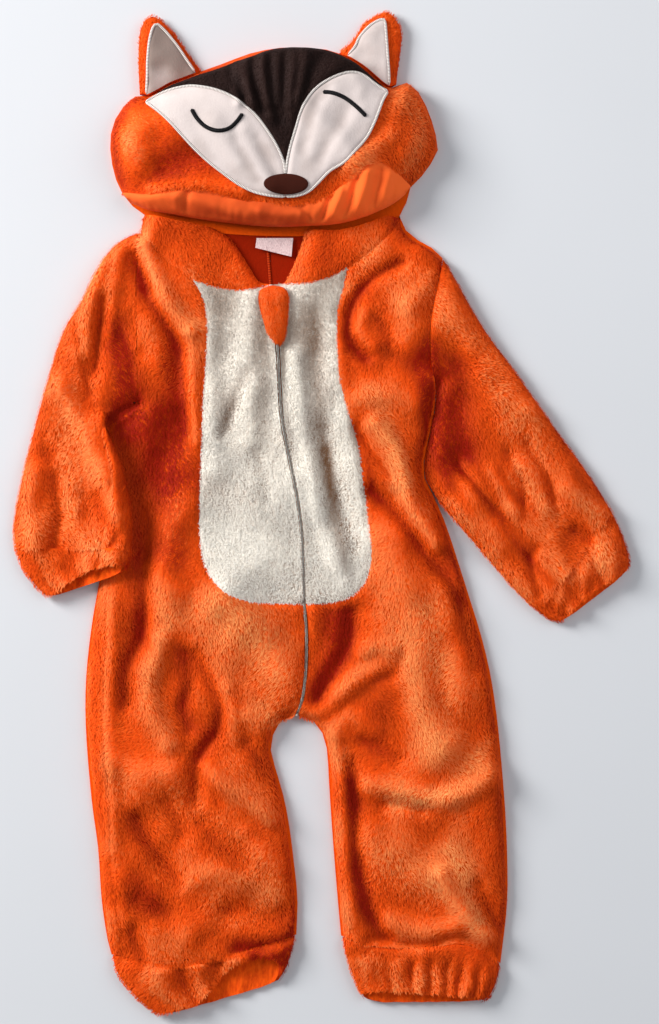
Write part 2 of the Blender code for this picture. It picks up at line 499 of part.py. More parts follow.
def material(name, colour, roughness):
    """A cloth's material, made once."""
    made = bpy.data.materials.get(name)
    if made is None:
        made = bpy.data.materials.new(name)
        made.use_nodes = True
        shader = made.node_tree.nodes["Principled BSDF"]
        shader.inputs["Base Color"].default_value = (*colour, 1)
        shader.inputs["Roughness"].default_value = roughness
        shader.inputs["Metallic"].default_value = 0
    return made


def add_object(name, points, faces, finish):
    """An object from points in millimetres and faces that point out."""
    mesh = bpy.data.meshes.new(name)
    mesh.from_pydata((np.asarray(points) * MM).tolist(), [], [list(map(int, f)) for f in faces])
    mesh.materials.append(finish)
    mesh.shade_smooth()
    mesh.set_sharp_from_angle(angle=math.radians(50))
    made = bpy.data.objects.new(name, mesh)
    bpy.context.collection.objects.link(made)
    return made


def shell(name, at, faces, top, bottom, finish, gap=SEAM_GAP):
    """A closed piece of cloth over `faces`, drawn in by half a seam gap at its edge."""
    used, flat = np.unique(faces, return_inverse=True)
    faces = flat.reshape(faces.shape)
    plan = at[used].copy()
    pairs = np.vstack([faces[:, [0, 1]], faces[:, [1, 2]], faces[:, [2, 0]]])
    known = {tuple(p) for p in pairs}
    rim = np.array([p for p in known if (p[1], p[0]) not in known])
    along = plan[rim[:, 1]] - plan[rim[:, 0]]
    along /= np.linalg.norm(along, axis=1)[:, None]
    inward = np.column_stack([-along[:, 1], along[:, 0]])
    push, count = np.zeros_like(plan), np.zeros(len(plan))
    for end in (0, 1):
        np.add.at(push, rim[:, end], inward)
        np.add.at(count, rim[:, end], 1)
    size = np.maximum((push**2).sum(1), 0.5)
    plan += push * (gap / size)[:, None] * (count > 0)[:, None]
    n = len(plan)
    high, low = top[used], bottom[used]
    points = np.vstack([np.column_stack([plan, high]), np.column_stack([plan, low])])
    sides = [(b, a, a + n, b + n) for a, b in rim]
    return add_object(name, points, [*faces, *(faces[:, ::-1] + n), *sides], finish)


def sections(table, count):
    """Outer and inner edge points of `count` sections along a sleeve or cuff."""
    rows = np.array(table, float)
    mid = (rows[:, :2] + rows[:, 2:]) / 2
    even = curve(np.column_stack([mid, rows]), count=count)
    return even[:, 2:4], even[:, 4:6]


def tube(name, table, rows, first, height, lift, wave, finish, lip=None, columns=12):
    """A flattened tube through the sections of a table, open at both ends.

    `first` is the line that the first section follows. `height` gives the top above the
    underside at plan points, `lift` the height that the underside lies at, and `wave` the height
    of gathers at (share across, share along). `lip` gives the share of its length that the upper
    layer is drawn back by from an open hem, whose corners are then rounded.
    """
    outer, inner = sections(table, rows)
    along = np.linspace(0, 1, rows)
    even = np.linspace(0, 1, columns + 1)
    across = even - TUBE_CROWD * np.sin(2 * math.pi * even) / (2 * math.pi)
    share = np.r_[across, across[-2:0:-1]]
    upper = np.arange(len(share)) <= columns
    path = np.array(first, float)
    run = np.r_[0, np.cumsum(np.linalg.norm(np.diff(path, axis=0), axis=1))]
    run /= run[-1]
    follow = np.column_stack([np.interp(share, run, path[:, k]) for k in (0, 1)])
    follow -= outer[0] + share[:, None] * (inner[0] - outer[0])
    walls = []
    for wall in ("outer", "inner"):
        rings = []
        for row in range(rows):
            width = np.linalg.norm(inner[row] - outer[row])
            margin = TUBE_EDGE / width if wall == "inner" else 0
            here = margin + share * (1 - 2 * margin)
            reach = np.minimum(here, 1 - here) * width
            back = np.zeros(len(share))
            if lip is not None:
                back = CUFF_CORNER * (1 - quarter(reach / CUFF_CORNER_ROUND))
                back += lip(here) * quarter(reach / TUBE_ROUND) * upper
            down = along[row] * (1 - back)
            ends = [np.column_stack([np.interp(down, along, edge[:, k]) for k in (0, 1)])
                    for edge in (outer, inner)]
            plan = ends[0] + here[:, None] * (ends[1] - ends[0])
            plan = plan + follow * (1 - ease(down / TUBE_FOLLOW))[:, None]
            base = lift(plan)
            rise = height(plan) - SEAM_HEIGHT + wave(here, down)
            top = base + SEAM_HEIGHT + rise * quarter(reach / TUBE_ROUND)
            low = base + SEAM_HEIGHT * (1 - quarter(reach / TUBE_UNDER_ROUND))
            if wall == "inner":
                middle = (top + low - TUBE_WALL_LEAN) / 2
                room = np.clip(top - low - TUBE_WALLS, TUBE_LEAST, TUBE_HOLLOW) / 2
                room = room * quarter(np.minimum(share, 1 - share) * width / TUBE_HOLLOW_ROUND)
                top, low = middle + room, middle - room
            rings.append(np.column_stack([plan, np.where(upper, top, low)]))
        walls.append(np.vstack(rings))
    faces = []
    n, shift = len(share), rows * len(share)
    for k in range(n):
        a, b = k, (k + 1) % n
        for row in range(rows - 1):
            c, d = a + row * n, b + row * n
            faces.append((c, d, d + n, c + n))
            faces.append((d + shift, c + shift, c + n + shift, d + n + shift))
        faces.append((b, a, a + shift, b + shift))
        a, b = a + shift - n, b + shift - n
        faces.append((a, b, b + shift, a + shift))
    across_first, heading = inner[0] - outer[0], outer[1] - outer[0]
    if across_first[0] * heading[1] - across_first[1] * heading[0] < 0:
        faces = [face[::-1] for face in faces]
    return add_object(name, np.vstack(walls), faces, finish)


# ---- heights

def body_form(at):
    """The front's level, round at the outer edges, and the height of its folds."""
    near = np.min([distance(at, lines[name]) for name in OUTER_EDGES], axis=0)
    level = EDGE_TOP + (FRONT_TOP - EDGE_TOP) * quarter(near / EDGE_ROUND)
    return level, folds(at, BODY_FOLDS) * ease(near / EDGE_CALM)


def body_height(at):
    """Top of the front's pile."""
    return np.maximum(sum(body_form(at)), LEAST_FRONT)


def under_body(at):
    """Underside of the front's plush, never lower than the back panels."""
    level, fold = body_form(at)
    return np.maximum(level + UNDERSIDE_SHARE * fold - PLUSH_THICK, BACK_THICK + STACK_GAP)


def hood_height(at):
    """Top of the hood's dome: round at its outer edge, and lower again at the rim."""
    near = distance(at, lines["hood_edge"])
    dome = HOOD_EDGE_TOP + (HOOD_TOP - HOOD_EDGE_TOP) * quarter(near / HOOD_ROUND)
    back = quarter(distance(at, lines["hood_rim"]) / MOUTH_ROUND)
    share = MOUTH_SHARE + (1 - MOUTH_SHARE) * back
    return np.maximum(dome * share, HOOD_LEAST) + folds(at, HOOD_FOLDS) * ease(near / 10)


def resting(at):
    """A piece that lies on the surface itself."""
    return np.zeros(len(at))


def over_body(at):
    """The sleeve's underside: over the body's edge below the armpit, and elsewhere at rest."""
    side = lines["side_left"]
    within = inside(at, lines["front_left"])
    away = distance(at, side)
    bridge = (EDGE_TOP + SLEEVE_CLEAR) * (1 - ease(away / CARRY_REACH))
    carried = np.where(within, body_height(at) + SLEEVE_CLEAR, bridge)
    return carried * ease((CARRY_FROM - at[:, 1]) / CARRY_RUN)


# ---- pieces

def lay_out_lines():
    """Samples each seam once, so that the pieces on both sides of it share its points."""
    for name, points in (
        ("armhole_left", ARMHOLE_LEFT), ("side_left", SIDE_LEFT), ("casing_left", CASING_LEFT),
        ("inseam_left", INSEAM_LEFT), ("inseam_right", INSEAM_RIGHT),
        ("casing_right", CASING_RIGHT), ("side_right", SIDE_RIGHT),
        ("armhole_right", ARMHOLE_RIGHT), ("shoulder_right", SHOULDER_RIGHT),
        ("shoulder_left", SHOULDER_LEFT), ("belly_left", BELLY_LEFT),
        ("belly_right", BELLY_RIGHT), ("neck_side_left", NECK_SIDE_LEFT),
        ("neck_belly_left", NECK_BELLY_LEFT), ("neck_belly_right", NECK_BELLY_RIGHT),
        ("neck_side_right", NECK_SIDE_RIGHT), ("opening_left", OPENING_LEFT),
        ("opening_right", OPENING_RIGHT), ("under_rim_left", UNDER_RIM_LEFT),
        ("under_rim_right", UNDER_RIM_RIGHT), ("hood_edge", HOOD_EDGE), ("hood_rim", HOOD_RIM),
        ("hood_low_left", HOOD_LOW_LEFT), ("hood_low_right", HOOD_LOW_RIGHT),
    ):
        lines[name] = curve(points)
    for name, points in (("upper", CENTRE_UPPER), ("lower", CENTRE_LOWER)):
        middle = curve(points)
        along = np.gradient(middle, axis=0)
        across = np.column_stack([-along[:, 1], along[:, 0]])
        across /= np.linalg.norm(across, axis=1)[:, None]
        half = ZIP_WIDTH / 2 + SEAM_GAP / 2
        lines["centre_left_" + name] = middle - half * across
        lines["centre_right_" + name] = middle + half * across
    for side, neck_end in (("left", -1), ("right", 0)):
        lines[f"centre_{side}_upper"][0] = lines["neck_belly_" + side][neck_end]
        lines[f"centre_{side}_upper"][-1] = lines["belly_" + side][-1]
        lines[f"centre_{side}_lower"][0] = lines["belly_" + side][-1]
        lines[f"centre_{side}_lower"][-1] = lines["inseam_" + side][0]
    lines["hood_seam"] = curve(HOOD_SEAM, count=HOOD_SEAM_POINTS)
    hole = lines["armhole_right"]
    lines["edge_fold"] = hole[hole[:, 1] < 112]


def piece_loops():
    """The closed outline of each of the front's pieces, by its seams in order."""
    seams = {
        "front_left": ("armhole_left", "side_left", "casing_left", "inseam_left",
                       "centre_left_lower", "belly_left", "neck_side_left"),
        "front_right": ("shoulder_right", "armhole_right", "side_right", "casing_right",
                        "inseam_right", "centre_right_lower", "belly_right", "neck_side_right"),
        "belly_left": ("belly_left", "centre_left_upper", "neck_belly_left"),
        "belly_right": ("belly_right", "centre_right_upper", "neck_belly_right"),
        "hood_neck_left": ("shoulder_left", "under_rim_left", "opening_left", "neck_belly_left",
                           "neck_side_left"),
        "hood_neck_right": ("neck_side_right", "under_rim_right", "opening_right",
                            "neck_belly_right"),
        "zip": ("centre_left_upper", "centre_left_lower", "centre_right_lower",
                "centre_right_upper"),
    }
    return {piece: loop(*(lines[name] for name in names)) for piece, names in seams.items()}


def in_region(at, faces, area):
    """The faces whose middles lie inside an area."""
    return faces[inside(at[faces].mean(1), area)]


def make_front():
    """Front panels, belly, hood fronts, zip and tab, all cut from one laid-out net of points."""
    loops = piece_loops()
    lines["front_left"] = loops["front_left"]
    tab = curve(TAB_OUTLINE + TAB_OUTLINE[:1], 6)
    whole = loop(*(lines[name] for name in (
        "armhole_left", "side_left", "casing_left", "inseam_left", "inseam_right", "casing_right",
        "side_right", "armhole_right", "shoulder_right", "under_rim_right", "opening_right",
        "opening_left", "under_rim_left", "shoulder_left")))
    names = [name for name in lines if name.split("_")[0] not in ("hood", "front")]
    seams = [lines[name] for name in names] + [tab]
    edges = [lines[name] for name in OUTER_EDGES]
    beside = banks(edges, whole, EDGE_BANKS, FOLD_CLEAR)
    beside = beside[np.min([distance(beside, line) for line in seams], axis=0) > SEAM_CLEAR]
    creases = fold_points(BODY_FOLDS, whole, seams, beside)
    fill = lattice(whole, seams, FILL_STEP, 0.5 * FILL_STEP)
    fill = fill[np.min([distance(fill, line) for line in edges], axis=0) > EDGE_CLEAR]
    fill = apart_from(fill, creases, 0.5 * FILL_STEP)
    at, faces = triangulate(seams, np.vstack([beside, creases, fill]))
    top, bottom = body_height(at), under_body(at)
    orange = material("orange_plush", ORANGE, 0.9)
    cream = material("cream_plush", CREAM, 0.9)
    for name, area in loops.items():
        cut = in_region(at, faces, area)
        if name == "zip":
            grey = material("zip_tape", ZIP_GREY, 0.7)
            low = np.maximum(top - ZIP_SUNK - ZIP_THICK, BACK_THICK + STACK_GAP)
            shell(name, at, cut, top - ZIP_SUNK, low, grey)
        else:
            shell(name, at, cut, top, bottom, cream if name.startswith("belly") else orange)
    joined = np.vstack([in_region(at, faces, area) for area in loops.values()])
    cut = in_region(at, joined, tab)
    low = top + TAB_CLEAR
    high = low + TAB_EDGE + (TAB_THICK - TAB_EDGE) * quarter(distance(at, tab) / TAB_ROUND)
    shell("zip_tab", at, cut, high, low, orange, gap=0)


def make_back():
    """Back panels and the hood's under layer, pressed flat on the surface."""
    seam_back = curve(NECK_BACK, 20)
    centre = curve(CENTRE_BACK, 30)
    outline = [lines[name] for name in (
        "armhole_left", "side_left", "casing_left", "inseam_left", "inseam_right", "casing_right",
        "side_right", "armhole_right", "shoulder_right", "hood_low_right", "hood_edge",
        "hood_low_left", "shoulder_left")]
    body = loop(*outline[:9], seam_back, outline[-1])
    split = int(np.argmin(np.linalg.norm(seam_back - centre[0], axis=1)))
    centre[0] = seam_back[split]
    hood = loop(*outline[9:12], seam_back)
    left = loop(*outline[:4], centre, seam_back[:split + 1], outline[-1])
    whole = loop(*outline)
    seams = outline + [seam_back, centre]
    at, faces = triangulate(seams, lattice(whole, seams, BACK_STEP, 0.4 * BACK_STEP))
    low, top = np.zeros(len(at)), np.full(len(at), BACK_THICK)
    orange = material("orange_plush", ORANGE, 0.9)
    on_body = in_region(at, faces, body)
    on_left = inside(at[on_body].mean(1), left)
    shell("back_left", at, on_body[on_left], top, low, orange)
    shell("back_right", at, on_body[~on_left], top, low, orange)
    shell("hood_back", at, in_region(at, faces, hood), top, low, orange)


def make_hood():
    """The hood's upper layer with the face that lies on it, cut from one net of points."""
    edge, seam = lines["hood_edge"], lines["hood_seam"]
    dome = loop(edge, seam)
    drawn = {
        "crown": curve(CROWN_TOP, 8),
        "left_upper": curve(CHEEK_LEFT_UPPER, 9), "left_lower": curve(CHEEK_LEFT_LOWER, 9),
        "right_upper": curve(CHEEK_RIGHT_UPPER, 9), "right_lower": curve(CHEEK_RIGHT_LOWER, 9),
        "meeting": curve(CHEEK_MEETING, 9),
    }
    turn = np.linspace(0, 2 * math.pi, 17)
    nose = np.array(NOSE_CENTRE) + np.array(NOSE_HALF) * np.column_stack([np.cos(turn), np.sin(turn)])
    eyes = {name: stroke(curve(points, 5), EYE_WIDTH)
            for name, points in (("eye_left", EYE_LEFT), ("eye_right", EYE_RIGHT))}
    seams = [edge, seam, *drawn.values(), nose, *eyes.values()]
    crown = loop(drawn["crown"], drawn["right_upper"], drawn["left_upper"])
    beside = banks([edge], dome, EDGE_BANKS, 0.4 * HOOD_STEP)
    beside = beside[np.min([distance(beside, line) for line in seams], axis=0) > SEAM_CLEAR]
    fill = lattice(dome, seams, HOOD_STEP, 0.47 * HOOD_STEP)
    fill = fill[distance(fill, edge) > EDGE_CLEAR]
    ruche = lattice(crown, seams, RUCHE_STEP, 0.5 * RUCHE_STEP)
    ruche = ruche[(ruche[:, 1] > RUCHE_FOOT) & (distance(ruche, edge) > EDGE_BANKS[1])]
    fill = apart_from(fill, ruche, RUCHE_STEP)
    at, faces = triangulate(seams, np.vstack([beside, fill, ruche]))
    top = hood_height(at)
    bottom = np.maximum(top - folds(at, HOOD_FOLDS) * (1 - UNDERSIDE_SHARE) - PLUSH_THICK,
                        BACK_THICK + STACK_GAP)
    shell("hood_top", at, in_region(at, faces, dome), top, bottom,
          material("orange_plush", ORANGE, 0.9))
    low = top + APPLIQUE_GAP
    shell("hood_crown", at, in_region(at, faces, crown), low + CROWN_THICK, low,
          material("brown_plush", BROWN, 0.85))
    white = material("white_velour", WHITE, 0.85)
    for side in ("left", "right"):
        area = loop(drawn[side + "_upper"], drawn["meeting"], drawn[side + "_lower"])
        shell("cheek_" + side, at, in_region(at, faces, area), low + CHEEK_THICK, low, white)
    low = low + CHEEK_THICK + APPLIQUE_GAP
    shell("nose", at, in_region(at, faces, nose), low + NOSE_THICK, low,
          material("brown_thread", NOSE_BROWN, 0.5), gap=0)
    for name, area in eyes.items():
        shell(name, at, in_region(at, faces, area), low + EYE_THICK, low,
              material("black_thread", BLACK, 0.5), gap=0)


def stroke(line, width):
    """The closed outline of a band of the given width along a line."""
    along = np.gradient(line, axis=0)
    across = np.column_stack([-along[:, 1], along[:, 0]])
    across *= width / 2 / np.linalg.norm(across, axis=1)[:, None]
    band = np.vstack([line + across, (line - across)[::-1]])
    return np.vstack([band, band[:1]])


def make_lining():
    """The jersey band along the hood's rim, gathered on its elastic."""
    seam = lines["hood_seam"]
    rim = curve(HOOD_RIM, count=len(seam))
    across = np.linspace(0, 1, 4)
    wave = np.sin(np.linspace(0, LINING_GATHERS * 2 * math.pi, len(seam)))
    margin = 0.5
    rings = []
    for share in across:
        width = np.linalg.norm(rim - seam, axis=1)
        at = seam + (rim - seam) * np.clip(share, margin / width, 1)[:, None]
        swell = LINING_SWELL * (LINING_CALM + (1 - LINING_CALM) * share)
        top = hood_height(at) - LINING_LOW + swell * wave
        rings.append(np.column_stack([at, top]))
    grid = np.array(rings)
    rows, columns = grid.shape[:2]
    grid[:, 0, 0] += 0.3
    grid[:, -1, 0] -= 0.3
    under = grid.copy()
    under[:, :, 2] = np.maximum(grid[:, :, 2] - LINING_THICK, BACK_THICK + STACK_GAP)
    index = np.arange(rows * columns).reshape(rows, columns)
    shift = rows * columns
    quads = [(index[r, c], index[r + 1, c], index[r + 1, c + 1], index[r, c + 1])
             for r in range(rows - 1) for c in range(columns - 1)]
    border = np.r_[index[0], index[1:, -1], index[-1, -2::-1], index[-2:0:-1, 0]]
    sides = [(a, b, b + shift, a + shift) for a, b in zip(border, np.roll(border, -1))]
    faces = quads + [tuple(np.array(q[::-1]) + shift) for q in quads] + sides
    add_object("hood_lining", np.vstack([grid.reshape(-1, 3), under.reshape(-1, 3)]), faces,
               material("orange_jersey", JERSEY, 0.75))


def make_ears():
    """Each ear: a plush back with a white velour front laid on it."""
    orange = material("orange_plush", ORANGE, 0.9)
    white = material("white_velour", WHITE, 0.85)
    for side, outer, inner in (("left", EAR_LEFT, EAR_LEFT_INNER),
                               ("right", EAR_RIGHT, EAR_RIGHT_INNER)):
        outline = curve(outer, 10)
        base = lines["hood_edge"]
        ends = [int(np.argmin(np.linalg.norm(base - p, axis=1))) for p in (outline[0], outline[-1])]
        foot = base[ends[0]:ends[1] + 1] + EAR_STAND
        outline = loop(outline[1:-1], foot[::-1])
        rim = curve(inner, 10)
        face = loop(rim, foot[1:-1][::-1])
        closed = [np.vstack([line, line[:1]]) for line in (outline, face)]
        beside = banks([closed[0]], outline, (4.0,), 5.0)
        beside = beside[distance(beside, closed[1]) > 3]
        at, faces = triangulate(closed, np.vstack([beside, lattice(outline, closed, 13, 6)]))
        rise = quarter(distance(at, closed[0]) / EAR_ROUND)
        top = EAR_EDGE_TOP + (EAR_TOP - EAR_EDGE_TOP) * rise
        top = np.maximum(top + EAR_TILTS[side] * (at[:, 0].mean() - at[:, 0]), EAR_LEAST)
        shell("ear_" + side, at, in_region(at, faces, outline), top, np.zeros(len(at)), orange)
        cut = in_region(at, faces, face)
        cut = cut[inside(at[cut].mean(1), outline)]
        shell(f"ear_{side}_inner", at, cut, top + APPLIQUE_GAP + EAR_INNER_THICK,
              top + APPLIQUE_GAP, white)


def make_label():
    """The bare sewn-in label, on the back panels below the neck seam."""
    outline = loop(np.array(LABEL_OUTLINE, float))
    n = len(outline)
    low = BACK_THICK + STACK_GAP
    points = np.vstack([np.column_stack([outline, np.full(n, low + LABEL_THICK)]),
                        np.column_stack([outline, np.full(n, low)])])
    turned = list(range(n - 1, -1, -1))
    sides = [(a, (a + 1) % n, (a + 1) % n + n, a + n) for a in range(n)]
    faces = [turned, [k + n for k in range(n)], *sides]
    add_object("label", points, faces, material("label_satin", LABEL_PINK, 0.5))


def sleeve_height(table):
    """The height function of a sleeve with the folds of a table."""
    return lambda at: SLEEVE_TOP + folds(at, table)


def no_wave(share, along):
    """A tube without gathers."""
    return 0 * share


def gathers(name):
    """The wave function of a casing: each gather of its table, growing from the groove at the
    seam."""
    def wave(share, down):
        """Height of the gathers at shares across and along."""
        total = np.zeros(len(share))
        for middle, width, height in GATHERS[name]:
            total += height * np.exp(-(((share - middle) / width) ** 2))
        open_out = ease(down / CASING_SHARE)
        return total * (0.3 + 0.7 * open_out) - CASING_GROOVES[name] * (1 - open_out)
    return wave


def lip_of(name):
    """The function of the share across that says how far a cuff's upper layer is drawn back."""
    least, most, start, end = LIPS[name]
    return lambda share: least + (most - least) * ease((share - start) / (end - start))


def make_sleeves():
    """Sleeves as flattened tubes, and the gathered casings at their ends."""
    orange = material("orange_plush", ORANGE, 0.9)
    for side, sleeve, cuff, away, table, lift in (
        ("left", SLEEVE_LEFT, CUFF_LEFT, -SEAM_SHIFT, SLEEVE_LEFT_FOLDS, over_body),
        ("right", SLEEVE_RIGHT, CUFF_RIGHT, SEAM_SHIFT, SLEEVE_RIGHT_FOLDS, resting),
    ):
        hole = lines["armhole_" + side] + (away, 0)
        tube("sleeve_" + side, sleeve, 15, hole, sleeve_height(table), lift, no_wave, orange,
             columns=13)
        cuff = apart(cuff)
        seam = [cuff[0][:2], cuff[0][2:]]
        name = "sleeve_" + side
        tube("sleeve_cuff_" + side, cuff, 4, seam, sleeve_height([]), lift, gathers(name), orange,
             lip_of(name), columns=20)


def make_leg_cuffs():
    """The gathered casings at the ends of the legs."""
    orange = material("orange_plush", ORANGE, 0.9)
    for side, cuff in (("left", LEG_CUFF_LEFT), ("right", LEG_CUFF_RIGHT)):
        seam = lines["casing_" + side][::1 if side == "left" else -1] - (0, SEAM_SHIFT)
        name = "leg_" + side
        tube("leg_cuff_" + side, cuff, 4, seam, sleeve_height([]), resting, gathers(name), orange,
             lip_of(name), columns=28)


def apart(table):
    """A table of sections with its first row moved along by a seam gap."""
    first, second = np.array(table[:2], float)
    return [tuple(first + (second - first) * 0.05), *table[1:]]


def centre_on_origin():
    """Parents every piece to an empty that brings the whole box's bottom centre to the origin."""
    root = bpy.data.objects.new("onesie", None)
    bpy.context.collection.objects.link(root)
    pieces = [ob for ob in bpy.data.objects if ob.type == "MESH"]
    corners = np.array([v.co for ob in pieces for v in ob.data.vertices])
    low, high = corners.min(0), corners.max(0)
    root.location = (-(low[0] + high[0]) / 2, -(low[1] + high[1]) / 2, -low[2])
    for ob in pieces:
        ob.parent = root


def main():
    for ob in list(bpy.data.objects):
        bpy.data.objects.remove(ob)
    lay_out_lines()
    make_front()
    make_back()
    make_hood()
    make_lining()
    make_ears()
    make_label()
    make_sleeves()
    make_leg_cuffs()
    centre_on_origin()


main()
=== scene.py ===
"""A toddler's fox onesie in long plush, laid out flat and face up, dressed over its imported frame.

Plan positions are millimetres in the garment's own frame: +X to the right as it is looked down
on, +Y towards the hood, +Z up from the surface that it lies on. A piece's mesh is put into the
frame by one shift, so every object stays at the origin.
"""
import math

import bmesh
import bpy
import numpy as np
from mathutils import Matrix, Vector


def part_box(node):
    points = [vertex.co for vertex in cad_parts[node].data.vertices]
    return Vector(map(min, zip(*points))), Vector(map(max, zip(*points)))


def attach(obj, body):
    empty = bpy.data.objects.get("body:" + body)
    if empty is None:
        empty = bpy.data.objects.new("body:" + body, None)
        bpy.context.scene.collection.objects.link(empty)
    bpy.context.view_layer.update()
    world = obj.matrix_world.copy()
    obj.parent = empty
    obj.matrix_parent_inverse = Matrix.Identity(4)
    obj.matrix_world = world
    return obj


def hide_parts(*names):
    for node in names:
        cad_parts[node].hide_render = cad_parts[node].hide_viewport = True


bl_info = {
    "name": "Fox onesie",
    "version": (1, 0, 0),
    "blender": (4, 5, 0),
    "location": "3D view > Sidebar > Onesie",
    "description": "Builds the cloth, pile, sewing and zip of a plush fox onesie over its frame",
    "category": "Object",
}

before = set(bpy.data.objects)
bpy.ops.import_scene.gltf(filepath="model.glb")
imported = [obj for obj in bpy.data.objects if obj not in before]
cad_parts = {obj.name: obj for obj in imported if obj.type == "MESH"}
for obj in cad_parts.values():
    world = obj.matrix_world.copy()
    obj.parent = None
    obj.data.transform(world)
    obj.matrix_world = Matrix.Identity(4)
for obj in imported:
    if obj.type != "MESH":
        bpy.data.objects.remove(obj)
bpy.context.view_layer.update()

MM = 0.001
# The frame's levels and rounds, millimetres
BACK_TOP = 3.0  # the back panels, pressed flat
LAYER_GAP = 0.3  # between two layers that lie on each other
LOWEST = BACK_TOP + LAYER_GAP  # underside of what lies on the back panels
FRONT_TOP = 14.5
EDGE_TOP = 7.0  # the front's top at its outer edges
EDGE_ROUND = 24.0  # over how far it rises from there
EDGE_CALM = 12.0  # how far in from an edge the folds reach their full height
LEAST_FRONT = 5.6  # lowest that the front's pile sinks to
PLUSH_THICK = 7.5
UNDERSIDE_SHARE = 0.2  # how much of a fold the underside of the plush follows
FOLD_RISE, FOLD_SINK = 1.7, 1.6  # how strongly the ridges and troughs of the tables show
HOOD_TOP, HOOD_EDGE_TOP, HOOD_ROUND = 38.0, 12.0, 46.0
MOUTH_SHARE, MOUTH_ROUND = 0.52, 46.0  # height of the rim, as a share of the dome behind it
SEAM_HEIGHT = 5.0  # height of a tube's folded edge
TUBE_ROUND = 20.0  # how far in from its folded edge a tube reaches its full height
CUFF_CORNER = 0.09  # share of a cuff's length that its hem is rounded back by at the edges
CUFF_CORNER_ROUND = 14.0
CASING_SHARE = 0.35  # share of a cuff's length that the groove at its seam takes
SLEEVE_TOP = 14.5
EAR_TOP, EAR_EDGE_TOP, EAR_ROUND, EAR_LEAST = 11.0, 5.0, 16.0, 4.0
EAR_TILTS = {"left": 0.13, "right": -0.03}  # how steeply each ear falls away to the right
SLEEVE_CLEAR = 2.0  # between the left sleeve and the body under it
CARRY_FROM, CARRY_RUN = 100.0, 15.0  # how far up the left sleeve starts to lift over that side
CARRY_REACH = 26.0  # how far beside the body the sleeve comes down to the surface again
SEAM_SHIFT = 1.3  # between a tube's end and the panels that it is sewn to
ARMPIT = 112.0  # how far up the right armhole is still a folded edge of the front

# What the backing leaves to the pile
COVER = 3.0  # how far the pile stands over the backing
SIDE_COVER = 1.4  # and out from the sides of a tube
MEETING = 15.0  # over how far a sleeve's or cuff's top runs into the cloth it is sewn to
ZIP_FILL, ZIP_FILL_HALF = 3.2, 4.5  # how far the pile closes the groove over the zip, and how wide
EDGE_BASE = 4.2  # top of the backing at a side seam
HOOD_EDGE_BASE = 6.5
WALL = 3.0  # a tube's wall
GATHERED = 0.8  # share of the frame's gathers that is left under the pile
FIRST_SHARE = 0.35  # share of a tube's length over which its rings leave the line of its seam
GRID, CUFF_GRID = 3.6, 2.4  # spacing of points on cloth
LINING_GRID = (22, 300)  # rows and columns of the jersey band
BELLY_SIDE = 0.80  # share of a belly seam's length that is its outer side
HOOD_MIDDLE = (-50, 360.0)  # where the hood's pile runs out from
NOSE_CENTRE, NOSE_HALF = np.array([-31.8, 294.3]), np.array([19.8, 9.2])
TAB_CENTRE = (-42.5, 187.0)
RIB_WIDTH = 17.4533  # of the bands that stand for the jersey's ribs
NOISE_RUN = {"From Min": 0.3, "From Max": 0.7}  # between which most of a noise's values lie
PILE_TONE, BACKING_TONE = 0.42, 0.36  # on level cloth: that of a blade, and of the feet of the pile, set deeper as painted shade under the blades
CLUMP = 2.6  # spacing of the clumps that tips are drawn together in
TAB_RISE = 6.4  # of the tongue's middle over its edge
ZIP_HALF = 1.2  # half the width of the tape that shows
LINING_PUCKERS = 19  # along the jersey band

# How the pile is shaded: painted light and shade in its tone
FULL_FOLD = 7.5  # height of a fold whose ridge gets the palest painted light, or whose trough the deepest painted shade
CREASE = 5.2  # half width of folds too narrow to get painted light and shade; their own relief shades them
FOLD_TONE = 0.23  # how much paler a ridge is painted than level cloth, and how much deeper a trough is painted in shade
EDGE_SHADE = 0.55  # how much painted shade the pile gets on the round of an edge, where it turns away
NAP_SHADE = 0.6  # how much strokes of the nap, with their painted light and shade, count beside a fold's height
SLOPE_LIGHT = 0.85  # and how much painted light a slope turned to the window gets, and painted shade one turned from it
TO_WINDOW = np.array([-0.88, 0.47])
BLADE_TONES = np.array([-0.05, 0.0, 0.0, 0.05])  # from a blade's root over its middle to its tip: the root painted darker as shade in the pile, the tip paler
LOUD_TONES = np.array([-0.04, 0, 0, 0.15])  # what is added to that where the nap is raised: paler tips, partly painted sheen, and deeper roots

# The stage in metres, and the camera's sensor in millimetres
FLOOR_SIZE, FLOOR_LEVEL = 6.0, -4e-4
CAMERA_LEVEL, CLOTH_LEVEL, SENSOR = 2.4, 0.008, 24.0
# The middle and the height of what the camera sees at the cloth's level, millimetres on the plan
VIEW_CENTRE, VIEW_HEIGHT = (6.75, 3.15), 921.6
SIDES = ("left", "right")


def named(text):
    """Lines of points by name, from names that are each followed by their points' x and y."""
    found = {}
    for word in text.replace(",", " ").split():
        if word[0].isalpha():
            values = found[word] = []
        else:
            values.append(float(word))
    return {name: np.reshape(values, (-1, 2)) for name, values in found.items()}


def listed(text):
    """Folds, parted by slashes: points x and y that each runs through, half width, height."""
    rows = text.strip().replace("\n", " / ").split(" / ")
    return [[float(word) for word in row.split()] for row in rows]


